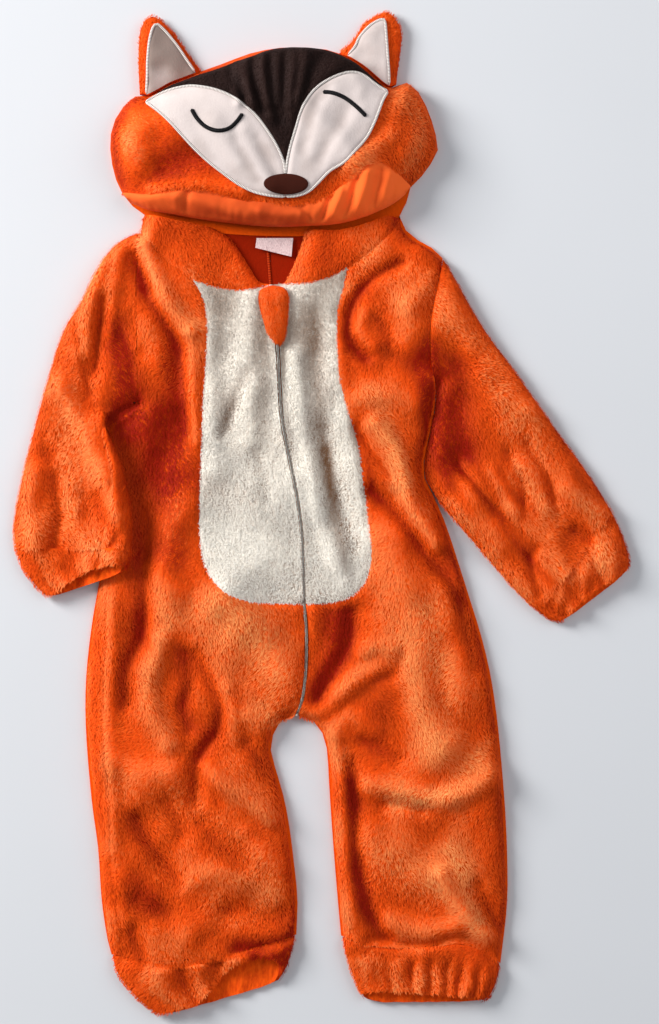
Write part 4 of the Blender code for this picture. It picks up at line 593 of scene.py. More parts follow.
def mouth(at):
    """Share of the dome's height that is left near the hood's rim."""
    return MOUTH_SHARE + (1 - MOUTH_SHARE) * quarter(distance(at, lines["hood_rim"]) / MOUTH_ROUND)


def hood_height(at):
    """Top of the hood's dome, as in the frame."""
    near = distance(at, lines["hood_edge"])
    dome = HOOD_EDGE_TOP + (HOOD_TOP - HOOD_EDGE_TOP) * quarter(near / HOOD_ROUND)
    return np.maximum(dome * mouth(at), 8.0) + folds(at, HOOD_FOLDS, FOLD_RISE, FOLD_SINK) * ease(near / 10)


def hood_cloth(at):
    """Top and underside of the hood's backing, and the painted light and shade of its folds."""
    near = distance(at, lines["hood_edge"])
    reach = (near - COVER) / (HOOD_ROUND - COVER)
    dome = HOOD_EDGE_BASE + (HOOD_TOP - COVER - HOOD_EDGE_BASE) * quarter(reach)
    worn = 0.8 * uneven(at, 60, 5) + 0.3 * uneven(at, 30, 6)
    fold = folds(at, HOOD_FOLDS + HOOD_WRINKLES, FOLD_RISE, FOLD_SINK)
    top = np.maximum(dome * mouth(at), 5.2) + (fold + worn) * ease(near / 10)
    under = np.maximum(hood_height(at) - PLUSH_THICK, LOWEST)
    return top, np.minimum(under, top - 0.8), shading(1.5 * fold)


def resting(at):
    """The level of a tube that lies on the surface itself."""
    return np.zeros(at.shape[:-1])


def over_body(at):
    """The level of the left sleeve: over the body's edge below the armpit, and elsewhere at rest."""
    away = distance(at, lines["side_left"])
    bridge = (EDGE_TOP + SLEEVE_CLEAR) * (1 - ease(away / CARRY_REACH))
    carried = np.where(inside(at, lines["front_left"]), body_height(at) + SLEEVE_CLEAR, bridge)
    return carried * ease((CARRY_FROM - at[..., 1]) / CARRY_RUN)


def ear_height(at, side, outline):
    """Top of an ear, as in the frame: round at its outline, and falling away to one side."""
    rise = EAR_EDGE_TOP + (EAR_TOP - EAR_EDGE_TOP) * quarter(distance(at, outline) / EAR_ROUND)
    return np.maximum(rise + EAR_TILTS[side] * (outline[:, 0].mean() - at[..., 0]), EAR_LEAST)


# ---- meshes

def grid_faces(rows, columns, start=0, closed=False, window=(0, 0, 1, 1)):
    """A grid's quads, and their corners' places in a window (left, bottom, width, height) of the
    map. A closed grid's last column joins its first."""
    r, c = np.meshgrid(np.arange(rows - 1), np.arange(columns - (not closed)), indexing="ij")
    row = np.stack([r, r, r + 1, r + 1], -1).reshape(-1, 4)
    column = np.stack([c, c + 1, c + 1, c], -1).reshape(-1, 4)
    left, bottom, width, height = window
    place = np.stack([left + width * column / (columns - (not closed)),
                      bottom + height * row / (rows - 1)], -1)
    return start + row * columns + column % columns, place


def border_faces(border, shift, window=(0.01, 0.0, 0.98, 0.02)):
    """Quads of the wall from a closed border to its copy `shift` points on."""
    n = len(border)
    after = np.roll(border, -1)
    k = np.arange(n)
    u = np.stack([k, k + 1, k + 1, k], -1) / n
    v = np.broadcast_to([0, 0, 1, 1], (n, 4))
    place = np.stack([window[0] + window[2] * u, window[1] + window[3] * v], -1)
    return np.stack([border, after, after + shift, border + shift], -1), place


def mesh_of(name, at, faces, places, **values):
    """A mesh from points in millimetres: arrays of faces with their corners' places in its map,
    and named values for each point."""
    mesh = bpy.data.meshes.new(name)
    mesh.vertices.add(len(at))
    mesh.vertices.foreach_set("co", ((at + SHIFT) * MM).astype(np.float32).ravel())
    corners = np.concatenate([f.ravel() for f in faces]).astype(np.int32)
    sizes = np.concatenate([np.full(len(f), f.shape[1]) for f in faces])
    mesh.loops.add(len(corners))
    mesh.loops.foreach_set("vertex_index", corners)
    mesh.polygons.add(len(sizes))
    mesh.polygons.foreach_set("loop_start", np.r_[0, np.cumsum(sizes)[:-1]].astype(np.int32))
    mesh.update(calc_edges=True)
    layer = mesh.uv_layers.new(name="OFBake")
    flat = np.concatenate([p.reshape(-1, 2) for p in places]).astype(np.float32)
    layer.uv.foreach_set("vector", flat.ravel())
    for key, value in values.items():
        mesh.attributes.new(key, "FLOAT", "POINT").data.foreach_set("value", value.astype(np.float32))
    return mesh


def put(name, at, faces, places, finish, slot, stands_for=(), sharp=60, **values):
    """A mesh object whose doubled points are merged, and whose faces are turned outwards."""
    mesh = mesh_of(name, at, faces, places, **values)
    work = bmesh.new()
    work.from_mesh(mesh)
    bmesh.ops.remove_doubles(work, verts=work.verts, dist=2e-5)
    bmesh.ops.recalc_face_normals(work, faces=work.faces)
    work.to_mesh(mesh)
    work.free()
    mesh.shade_smooth()
    mesh.set_sharp_from_angle(angle=math.radians(sharp))
    return finished(name, mesh, finish, stands_for)


def finished(name, mesh, finish, stands_for=()):
    """The mesh as an object with its material, riding on the garment's body."""
    mesh.materials.append(finish)
    piece = bpy.data.objects.new(name, mesh)
    bpy.context.scene.collection.objects.link(piece)
    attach(piece, "root")
    if stands_for:
        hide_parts(*stands_for)
    return piece


def shell(name, grid, under, finish, slot, stands_for=(), **values):
    """A closed piece of cloth: a grid, its copy at the heights `under`, and a wall round them."""
    rows, columns = grid.shape[:2]
    low = grid.copy()
    low[..., 2] = under
    top, top_place = grid_faces(rows, columns, window=(0.01, 0.52, 0.98, 0.47))
    bottom, bottom_place = grid_faces(rows, columns, rows * columns, window=(0.01, 0.03, 0.98, 0.47))
    index = np.arange(rows * columns).reshape(rows, columns)
    border = np.r_[index[0], index[1:, -1], index[-1, -2::-1], index[-2:0:-1, 0]]
    side, side_place = border_faces(border, rows * columns)
    at = np.vstack([grid.reshape(-1, 3), low.reshape(-1, 3)])
    doubled = {key: np.tile(np.asarray(value).ravel(), 2) for key, value in values.items()}
    return put(name, at, [top, bottom[:, ::-1], side], [top_place, bottom_place[:, ::-1], side_place],
               finish, slot, stands_for, **doubled)


def sections(table, count):
    """Outer and inner edge points of `count` even sections along a sleeve or cuff."""
    rows = np.array(table, float)
    middle = (rows[:, :2] + rows[:, 2:]) / 2
    even = curve(np.column_stack([middle, rows]), count=count)
    return even[:, 2:4], even[:, 4:6]


def along_rows(edge, down):
    """Points on an edge line at the given shares of its rows."""
    even = np.linspace(0, 1, len(edge))
    return np.stack([np.interp(down, even, edge[:, k]) for k in (0, 1)], -1)


def tube_walls(table, first, height, lift, wave, lip=None, step=GRID, meets=None):
    """The outer and inner wall of a flattened tube, as closed grids of rings by rows, and the
    outer one's painted light and shade by its folds, painted deeper on the rounds of its
    edges. A ring goes over the top from the outer edge to the inner one and back below. Its
    top rises from both edges in a quarter circle, its first ring follows the line `first`, and
    `wave` adds its gathers. `lip` is the share of its length that the upper layer is drawn
    back by from an open hem, whose corners are then rounded. At its first ring its top runs
    into that of the cloth it is sewn to, which `meets` gives."""
    rough_out, rough_in = sections(table, 9)
    length = run_of((rough_out + rough_in) / 2)[-1]
    rows = max(5, round(length / step))
    columns = max(20, round(np.linalg.norm(rough_in - rough_out, axis=1).max() / step * 1.15))
    outer, inner = sections(table, rows)
    down = np.linspace(0, 1, rows)[:, None]
    even = np.linspace(0, 1, columns + 1)
    over = even - 0.4 * np.sin(2 * math.pi * even) / (2 * math.pi)
    share = np.r_[over, over[-2:0:-1]]
    upper = np.arange(len(share)) <= columns
    follow = along(first, share) - (outer[0] + share[:, None] * (inner[0] - outer[0]))
    width = np.linalg.norm(inner - outer, axis=1)[:, None]
    walls = []
    for inset in (SIDE_COVER, SIDE_COVER + WALL):
        here = inset / width + share * (1 - 2 * inset / width)
        reach = np.minimum(here, 1 - here) * width - inset
        share_down = down * np.ones_like(here)
        if lip:
            back = CUFF_CORNER * (1 - quarter(reach / CUFF_CORNER_ROUND))
            share_down = down * (1 - back - lip(here) * quarter(reach / TUBE_ROUND) * upper)
        first_edge, last_edge = along_rows(outer, share_down), along_rows(inner, share_down)
        plan = first_edge + here[..., None] * (last_edge - first_edge)
        plan = plan + follow * (1 - ease(share_down / FIRST_SHARE))[..., None]
        base = lift(plan)
        fold = height(plan) - SLEEVE_TOP + wave(here, share_down)
        if inset == SIDE_COVER:
            shade = (shading(fold) - painted_edge_shade(reach / 16)) * upper
        rise = SLEEVE_TOP + fold - COVER - SEAM_HEIGHT
        top = base + SEAM_HEIGHT + rise * quarter(reach / TUBE_ROUND)
        low = base + SEAM_HEIGHT * (1 - quarter(reach / 7))
        if meets:
            near = 1 - ease(share_down * length / MEETING)
            top = top + near * np.maximum(meets(plan) - top, low - top)
        if inset > SIDE_COVER:
            middle = (top + low) / 2
            room = np.clip(top - low - 2 * WALL, 0.6, 3.4) / 2 * quarter(reach / 9)
            top, low = middle + room, middle - room
        walls.append(at_height(plan, np.where(upper, top, low)))
    return (*walls, shade)


def tube(name, walls, finish, slot, stands_for):
    """A closed tube of cloth from its two walls, joined at both ends."""
    rows, n = walls[0].shape[:2]
    faces, places = [], []
    for k, window in enumerate(((0.01, 0.5, 0.98, 0.47), (0.01, 0.03, 0.98, 0.42))):
        quads, place = grid_faces(rows, n, k * rows * n, True, window)
        faces.append(quads[:, ::1 if k else -1])
        places.append(place[:, ::1 if k else -1])
    ring = np.arange(n)
    for end, bottom in ((0, 0.0), ((rows - 1) * n, 0.98)):
        quads, place = border_faces(ring + end, rows * n, (0.01, bottom, 0.98, 0.015))
        faces.append(quads)
        places.append(place)
    at = np.vstack([wall.reshape(-1, 3) for wall in walls[:2]])
    return put(name, at, faces, places, finish, slot, stands_for, sharp=75,
               tone=backing_tone(np.tile(walls[2].ravel(), 2)))


def cord_along(name, path, width, height, finish, slot, stands_for=(), sides=8, ends=2.0):
    """Satin stitching or a welt: a flattened round profile carried along a path of points
    (x, y, z), drawn to nothing over `ends` millimetres at both ends. Each point's run along the
    path is kept in millimetres, for the stitches."""
    heading = unit(np.gradient(path, axis=0))
    over = unit(np.cross(heading, (0, 0, 1.0)))
    up = np.cross(over, heading)
    run = run_of(path)
    thin = quarter(np.minimum(run, run[-1] - run) / ends)[:, None, None]
    turn = np.linspace(0, 2 * math.pi, sides, endpoint=False)[:, None]
    ring = np.cos(turn) * over[:, None] * width / 2 + np.sin(turn) * up[:, None] * height / 2
    grid = path[:, None] + ring * np.maximum(thin, 0.02)
    faces, places = grid_faces(len(path), sides, 0, True, (0.01, 0.01, 0.98, 0.98))
    caps = [np.arange(sides)[None], (len(path) - 1) * sides + np.arange(sides)[None, ::-1]]
    cap_place = 0.01 + 0.01 * np.column_stack([np.cos(turn[:, 0]), np.sin(turn[:, 0])])
    return put(name, grid.reshape(-1, 3), [faces, *caps], [places, cap_place, cap_place], finish, slot,
               stands_for, sharp=80, run=np.repeat(run, sides))


# ---- pile

def backing_tone(shade, normal=None, share=1.0):
    """The backing's tone: that of the feet of the pile on it, by its painted light and shade."""
    seen = shade if normal is None else slope_lit(shade, normal, share)
    return np.clip(BACKING_TONE + FOLD_TONE * seen, 0, 1)


def pile(name, grid, shade, finish, slot, seed, density, length, width, lean=70, nap=-90,
         keep=None, parted=(), streaks=1.0, drift=24, curl=0.3, light=0.0, mess=0.2, share=1.0):
    """Plush pile: blades of two triangles each, strewn evenly over a grid of cloth with its
    folds' painted light and shade. A blade stands up from its root, leans along the nap, off
    it by a spread of `mess` radians, and bends over at its middle. Neighbours' tips are drawn
    together in clumps. `tone` runs from 0 at shaded roots to 1 at pale tips, with painted
    light and shade from folds, slopes and strokes; `light`, a number or a function of the
    place, is added to it, on the belly and the hood as painted light and shade, and `share`
    is how much the slopes' painted light and shade count. Where strokes raise the nap, the
    tips show paler, partly as painted sheen, and more uneven."""
    rng = np.random.default_rng(seed)
    normal = normals_of(grid)
    nap_and_shade, smooth_lit = folds(grid[..., :2], NAP_AND_SHADE_STROKES), folds(grid[..., :2], SMOOTH_LIT_STROKES)
    # The shading with the slopes' painted light and shade, and that of the strokes of nap and painted light
    # and shade
    shade = slope_lit(shade, normal, share) + NAP_SHADE * (nap_and_shade + smooth_lit)
    shades = np.stack([shade, nap_and_shade - 0.6 * smooth_lit], -1)
    whole = np.concatenate([grid, normal, shades], -1)
    corners = np.stack([whole[:-1, :-1], whole[:-1, 1:], whole[1:, 1:], whole[1:, :-1]])
    a, b, c, d = corners.reshape(4, -1, 8)
    area = np.linalg.norm(np.cross(c[:, :3] - a[:, :3], d[:, :3] - b[:, :3]), axis=1) / 2
    count = int(area.sum() * density)
    pick = np.minimum(np.searchsorted(np.cumsum(area) / area.sum(), rng.random(count)), len(area) - 1)
    u, v = rng.random((2, count, 1))
    spot = (a[pick] * (1 - u) * (1 - v) + b[pick] * u * (1 - v) + c[pick] * u * v + d[pick] * (1 - u) * v)
    chosen = spot[:, 5] > -0.1
    if keep is not None:
        chosen &= keep(spot[:, :2])
    spot = spot[chosen]
    spot = spot[np.argsort(spot[:, 1])]
    root, up, shade, nap_and_shade = spot[:, :3], unit(spot[:, 3:6]), spot[:, 6], spot[:, 7]
    plan, n = root[:, :2], len(root)
    base = np.radians(nap(plan) if callable(nap) else nap)
    heading = base + np.radians(drift) * uneven(plan, 95, 11) + 0.16 * uneven(plan, 16, 12)
    heading = heading + rng.normal(0, mess, n)
    lay = np.column_stack([np.cos(heading), np.sin(heading), np.zeros(n)])
    lay = unit(lay - (lay * up).sum(1, keepdims=True) * up)
    side = np.cross(lay, up)
    tilt = np.radians(lean) + 0.08 * uneven(plan, 30, 13) + rng.normal(0, 0.07, n)
    reach = length * rng.uniform(0.72, 1.12, n)
    short = np.ones(n)
    for line, half in parted:
        short = np.minimum(short, 0.62 + 0.38 * ease(distance(plan, line) / half))
    reach = (reach * short)[:, None]
    tilt = tilt[:, None]
    middle = root + reach / 2 * (up * np.cos(tilt - 0.32) + lay * np.sin(tilt - 0.32))
    tip = middle + reach / 2 * (up * np.cos(tilt + 0.22) + lay * np.sin(tilt + 0.22))
    draw = clump_centres(plan, CLUMP) - plan
    draw = np.column_stack([draw, np.zeros(n)])
    draw = draw - (draw * up).sum(1, keepdims=True) * up
    tip = tip + curl * draw
    middle = middle + 0.4 * curl * draw
    half = side * width / 2 * rng.uniform(0.7, 1.25, n)[:, None]
    at = np.stack([root, middle + half, middle - half, tip], 1)
    loud = streaks * (0.25 + 0.75 * np.clip(nap_and_shade + 0.25 * uneven(plan, 60, 14), 0, 1))
    streak = rng.normal(0, 1, n) * 0.55 + uneven(plan, 5.5, 16, 30) * 0.45
    # Painted light and shade from folds, slopes and strokes, with random streaks, set each blade's tone
    tone = light(plan) if callable(light) else light
    tone = tone + PILE_TONE + 0.11 * streak * loud + FOLD_TONE * shade
    tone = tone[:, None] + BLADE_TONES + LOUD_TONES * loud[:, None]
    shown = unit(up + side * rng.normal(0, 0.09, n)[:, None] + lay * rng.normal(0, 0.09, n)[:, None])
    return blades(name, at, tone, shown, finish)


def blades(name, at, tone, shown, finish):
    """A mesh of blades from their four points each, with their tone and the normal each shows."""
    n = len(at)
    at = at.reshape(-1, 3)
    faces = (4 * np.arange(n)[:, None, None] + np.array([(0, 1, 2), (1, 3, 2)])).reshape(-1, 3)
    low, high = at[:, :2].min(0), at[:, :2].max(0)
    place = (0.01 + 0.98 * (at[:, :2] - low) / (high - low))[faces]
    mesh = mesh_of(name, at, [faces], [place], tone=np.clip(tone, 0, 1).ravel())
    mesh.shade_smooth()
    mesh.normals_split_custom_set_from_vertices(np.repeat(shown, 4, axis=0).tolist())
    return finished(name, mesh, finish)


def clump_centres(plan, size):
    """The nearest clump's centre for each place: one centre in each square cell, off the cell's
    middle by a share that is worked out from the cell's own number."""
    cell = np.floor(plan / size)
    best, found = np.full(len(plan), np.inf), np.zeros_like(plan)
    for step in np.array([(i, j) for i in (-1, 0, 1) for j in (-1, 0, 1)]):
        other = cell + step
        mixed = np.sin(other @ np.array([[12.9898, 39.346], [78.233, 11.135]])) * 43758.5453
        centre = (other + mixed - np.floor(mixed)) * size
        away = ((centre - plan) ** 2).sum(1)
        nearer = away < best
        best = np.where(nearer, away, best)
        found[nearer] = centre[nearer]
    return found


# ---- materials

def linear(code):
    """A colour written as sRGB hex, as linear red, green and blue."""
    value = np.array([int(code[k:k + 2], 16) for k in (0, 2, 4)]) / 255
    return tuple(np.where(value <= 0.04045, value / 12.92, ((value + 0.055) / 1.055) ** 2.4))


def add(tree, kind, sockets=(), stops=(), **settings):
    """Adds a node with its settings. A socket is given a value or linked to another's output, and
    a colour ramp its stops, which are pairs of a place and a colour."""
    node = tree.nodes.new("ShaderNode" + kind)
    for key, value in settings.items():
        setattr(node, key, value)
    for key, value in dict(sockets).items():
        socket = node.inputs[key]
        if isinstance(value, bpy.types.NodeSocket):
            tree.links.new(value, socket)
        else:
            socket.default_value = (*value, 1) if socket.type == "RGBA" else value
    for k, (place, colour) in enumerate(stops):
        ramp = node.color_ramp.elements
        stop = ramp[k] if k < len(ramp) else ramp.new(place)
        stop.position, stop.color = place, (*colour, 1)
    return node


def finish_of(name, **sockets):
    """A new material, its node tree and its shader, with the given constants on the sockets."""
    made = bpy.data.materials.new(name)
    made.use_nodes = True
    shader = made.node_tree.nodes["Principled BSDF"]
    for key, value in sockets.items():
        shader.inputs[key.replace("_", " ")].default_value = value
    return made, made.node_tree, shader


def speckle(tree, size, detail=2.0, stretch=(1, 1, 1), rough=0.5):
    """Noise on Object coordinates, `size` in millimetres, stretched by a factor for each axis."""
    place = add(tree, "TexCoord").outputs["Object"]
    drawn = add(tree, "Mapping", {"Vector": place, "Scale": [1 / s for s in stretch]})
    noise = add(tree, "TexNoise", {"Vector": drawn.outputs["Vector"], "Scale": 1 / (size * MM),
                                   "Detail": detail, "Roughness": rough})
    return noise.outputs["Fac"]


def dress(tree, shader, colour, height, depth, strength):
    """Gives a shader its colour, and a height field as bump, `depth` millimetres from 0 to 1."""
    bump = add(tree, "Bump", {"Height": height, "Distance": depth * MM, "Strength": strength})
    tree.links.new(colour, shader.inputs["Base Color"])
    tree.links.new(bump.outputs["Normal"], shader.inputs["Normal"])


def shaded_tone(tree, noise, spread):
    """The tone that the mesh carries, made uneven by noise: up to `spread` is added or taken."""
    tone = add(tree, "Attribute", attribute_name="tone").outputs["Fac"]
    cloudy = add(tree, "MapRange", {"Value": noise, **NOISE_RUN, "To Min": -spread, "To Max": spread})
    return add(tree, "Math", {0: tone, 1: cloudy.outputs["Result"]}, operation="ADD").outputs[0]


def pile_finish(name, deep, middle, pale, sheen):
    """Polyester plush pile, knitted, brushed and sheared, a little glossy at the tips: its
    colour runs from the deep one, painted shade at the roots and in shaded places, to the
    pale one, painted highlight at the tips and where light is painted on."""
    made, tree, shader = finish_of(name, Roughness=0.7, Sheen_Weight=sheen, Sheen_Roughness=0.4,
                                   Sheen_Tint=(*pale, 1), Specular_IOR_Level=0.12)
    tone = add(tree, "Attribute", attribute_name="tone").outputs["Fac"]
    colour = add(tree, "ValToRGB", {"Fac": tone}, ((0.08, deep), (0.46, middle), (0.92, pale)))
    cloudy = add(tree, "MapRange", {"Value": speckle(tree, 38, 1.0), **NOISE_RUN, "To Min": 0.96,
                                    "To Max": 1.04})
    tinted = add(tree, "HueSaturation", {"Color": colour.outputs["Color"], "Value": cloudy.outputs["Result"]})
    tree.links.new(tinted.outputs["Color"], shader.inputs["Base Color"])
    return made


def backing_finish(name, deep, middle, pale):
    """The plush's knitted backing with the feet of its pile: dull, painted deeper than the pile
    over it as the shade under the blades, and finely streaked along the nap."""
    made, tree, shader = finish_of(name, Roughness=0.9, Specular_IOR_Level=0.1)
    streak = speckle(tree, 3.2, 3.0, (1, 2.6, 1.5), 0.6)
    colour = add(tree, "ValToRGB", {"Fac": shaded_tone(tree, streak, 0.12)},
                 ((0.08, deep), (0.46, middle), (0.92, pale))).outputs["Color"]
    dress(tree, shader, colour, streak, 1.6, 0.8)
    return made


def pressed_finish(name, deep, middle, centre, radii):
    """The knitted back of the plush: flat and dull, with the fine tooth of its stitches, and
    darker inside an oval, painted shade where the inside of the garment lies under the hood.
    A place is inside the oval where its distance from the centre, as shares of the oval's
    radii, is less than 1."""
    made, tree, shader = finish_of(name, Roughness=0.95, Specular_IOR_Level=0.05)
    tooth = speckle(tree, 2.4, 2.0, (1, 1.8, 1), 0.5)
    place = add(tree, "TexCoord").outputs["Object"]
    middle_at = (np.array([*centre, 0]) + SHIFT) * MM
    out = add(tree, "VectorMath", {0: place, 1: tuple(middle_at)}, operation="SUBTRACT")
    share = add(tree, "VectorMath", {0: out.outputs[0], 1: (1 / (radii[0] * MM), 1 / (radii[1] * MM), 0)},
                operation="MULTIPLY")
    far = add(tree, "VectorMath", {0: share.outputs[0]}, operation="LENGTH")
    in_shade_oval = add(tree, "MapRange", {"Value": far.outputs["Value"], "From Min": 1.0, "From Max": 0.9})
    hue = add(tree, "Mix", {0: in_shade_oval.outputs["Result"], 6: middle, 7: deep}, data_type="RGBA")
    speck = add(tree, "Math", {0: tooth, 1: 0.3}, operation="MULTIPLY").outputs[0]
    colour = add(tree, "Mix", {0: speck, 6: hue.outputs[2], 7: deep}, data_type="RGBA")
    dress(tree, shader, colour.outputs[2], tooth, 0.6, 0.6)
    return made


def velour_finish(name, middle, shade):
    """Polyester velour, a short dense pile: even and matt, with a fine tooth, and greyer where it
    is turned from the light."""
    made, tree, shader = finish_of(name, Roughness=0.85, Sheen_Weight=0.08, Sheen_Roughness=0.5,
                                   Specular_IOR_Level=0.1)
    tooth = speckle(tree, 1.5, 3.0, (1, 1.4, 1), 0.65)
    tone = shaded_tone(tree, speckle(tree, 24), 0.05)
    even = add(tree, "ValToRGB", {"Fac": tone}, ((0.14, shade), (0.38, middle))).outputs["Color"]
    speck = add(tree, "Math", {0: tooth, 1: 0.16}, operation="MULTIPLY").outputs[0]
    colour = add(tree, "Mix", {0: speck, 6: even, 7: shade}, data_type="RGBA")
    dress(tree, shader, colour.outputs[2], tooth, 0.5, 0.55)
    return made


def thread_finish(name, lit, dark, pitch, gloss):
    """Rayon embroidery thread laid as satin stitch: threads side by side across the stroke, each
    catching the light, drawn coarser than real ones so that they show. The sine of the run along
    the stitching gives the threads, `pitch` millimetres apart."""
    made, tree, shader = finish_of(name, Roughness=gloss, Specular_IOR_Level=0.08)
    run = add(tree, "Attribute", attribute_name="run").outputs["Fac"]
    turn = add(tree, "Math", {0: run, 1: 2 * math.pi / pitch}, operation="MULTIPLY").outputs[0]
    wave = add(tree, "Math", {0: turn}, operation="SINE").outputs[0]
    thread = add(tree, "MapRange", {"Value": wave, "From Min": -1.0, "From Max": 1.0}).outputs["Result"]
    colour = add(tree, "Mix", {0: thread, 6: dark, 7: lit}, data_type="RGBA")
    dress(tree, shader, colour.outputs[2], thread, 0.35, 0.8)
    return made


def jersey_finish(name, middle, shade):
    """Cotton jersey, knitted in fine ribs that run across the band: matt, smooth, faintly ribbed,
    and deeper where it lies in shade. The ribs are drawn coarser than real ones, as soft bands: a
    band's width is pi over ten times the wave's scale."""
    made, tree, shader = finish_of(name, Roughness=0.85, Specular_IOR_Level=0.2)
    place = add(tree, "TexCoord").outputs["Object"]
    scale = math.pi / (10 * RIB_WIDTH * MM)
    rib = add(tree, "TexWave", {"Vector": place, "Scale": scale, "Distortion": 3.0, "Detail": 1.0},
              wave_type="BANDS", bands_direction="X").outputs["Fac"]
    tone = shaded_tone(tree, speckle(tree, 22), 0.1)
    colour = add(tree, "ValToRGB", {"Fac": tone}, ((0.2, shade), (0.8, middle)))
    dress(tree, shader, colour.outputs["Color"], rib, 0.05, 0.4)
    return made


def woven_finish(name, lit, dark, gap, roughness):
    """Closely woven tape or satin ribbon: threads that run along it, `gap` millimetres apart and
    uneven in shine, drawn coarser than real ones so that they show."""
    made, tree, shader = finish_of(name, Roughness=roughness, Specular_IOR_Level=0.3)
    weave = speckle(tree, 3 * gap, 1.0, (0.25, 1, 1))
    colour = add(tree, "ValToRGB", {"Fac": weave}, ((0.3, dark), (0.6, lit)))
    dress(tree, shader, colour.outputs["Color"], weave, 0.08, 0.4)
    return made


def make_finishes(c):
    """Every finish from the garment's colours, made once and kept by name."""
    orange, cream = (c.orange_deep, c.orange, c.orange_pale), (c.cream_deep, c.cream, c.cream_pale)
    brown = (c.brown_deep, c.brown, c.brown_pale)
    for name, hues in (("orange", orange), ("cream", cream), ("dark brown", brown)):
        kind = name.split()[-1]
        finishes[kind + "_pile"] = pile_finish(name + " plush pile", *hues, 0.06)
        finishes[kind + "_backing"] = backing_finish(name + " knitted backing", *hues)
    finishes.update({
        # The insides of the neck and hood are darker inside ovals: painted shade under the hood
        "neck_inside": pressed_finish("orange knitted inside of the neck", c.orange_shaded_inside, c.orange,
                                      (-50, 245), (95, 60)),
        "hood_inside": pressed_finish("orange knitted inside of the hood", c.orange_shaded_inside, c.orange,
                                      (-45, 335), (138, 78)),
        "white_velour": velour_finish("white polyester velour", c.white, c.white_shade),
        "white_thread": thread_finish("white rayon satin stitch", c.white_stitch, c.white_shade, 1.3, 0.5),
        "black_thread": thread_finish("black rayon satin stitch", c.black, linear("070707"), 1.3, 0.5),
        "brown_thread": thread_finish("brown rayon satin stitch", c.nose, c.brown_deep, 0.8, 0.85),
        "orange_thread": thread_finish("orange overlock thread", c.seam, c.orange_shaded_inside, 2.2, 0.7),
        "orange_jersey": jersey_finish("orange cotton jersey", c.jersey, c.jersey_shade),
        "zip_tape": woven_finish("polyester zip tape", c.tape, c.tape_shade, 0.8, 0.75),
        "zip_coil": finish_of("nylon zip coil", Base_Color=(*c.tape_shade, 1), Roughness=0.5)[0],
        "label_satin": woven_finish("polyester satin ribbon", c.label, c.label_shade, 0.7, 0.5),
    })


# ---- pieces

def sew_lines():
    """Samples each seam once, so that the pieces on both sides of it share its points. The seams
    beside the zip are its own line drawn out to both sides, to their joins at its ends."""
    lines.update({name: curve(points) for name, points in SEAMS.items()})
    for part in ("upper", "lower"):
        middle = lines["centre_" + part]
        half = np.minimum(1, 0.1 + np.linspace(0, 6, len(middle)))
        for side, turn, join in (("left", -0.9, -1), ("right", 0.9, 0)):
            belly = lines["belly_" + side][-1]
            ends = {"upper": (lines["neck_belly_" + side][join], belly),
                    "lower": (belly, lines["inseam_" + side][0])}
            lines[f"centre_{side}_{part}"] = refit(drawn_in(middle, turn * half), *ends[part])
    hole = lines["armhole_right"]
    lines["edge_fold"] = hole[hole[:, 1] < ARMPIT]
    lines["front_left"] = np.vstack([
        lines["armhole_left"], lines["side_left"], lines["casing_left"], lines["inseam_left"][::-1],
        lines["centre_left_lower"][::-1], lines["belly_left"][::-1], lines["neck_side_left"][::-1]])


def inner_of(name, by, start=14):
    """An outer seam drawn in to the backing's own edge, from nothing over `start` millimetres."""
    line = lines[name]
    return drawn_in(line, by * ease(run_of(line) / start))


def under_arm():
    """The left side seam as the front's edge: drawn out below the armpit, where the lifted sleeve
    lies over it, and then in to the backing's own edge."""
    line = lines["side_left"]
    run = run_of(line)
    return drawn_in(line, COVER * ease((run - 50) / 30) - 8 * ease(run / 14) * ease((66 - run) / 30))


def belly_light(at):
    """Painted shade on the cream plush at the chest, and painted light over the low belly."""
    return 0.02 - 0.2 * np.tanh((at[:, 1] - 70) / 80)


def body_grid(first, last, low, high, pairs):
    """A front piece's grid at its heights, with its underside and its shading."""
    plan = rungs(first, last, low, high, pairs=pairs)
    top, under, shade = body_cloth(plan)
    return at_height(plan, top), under, shade


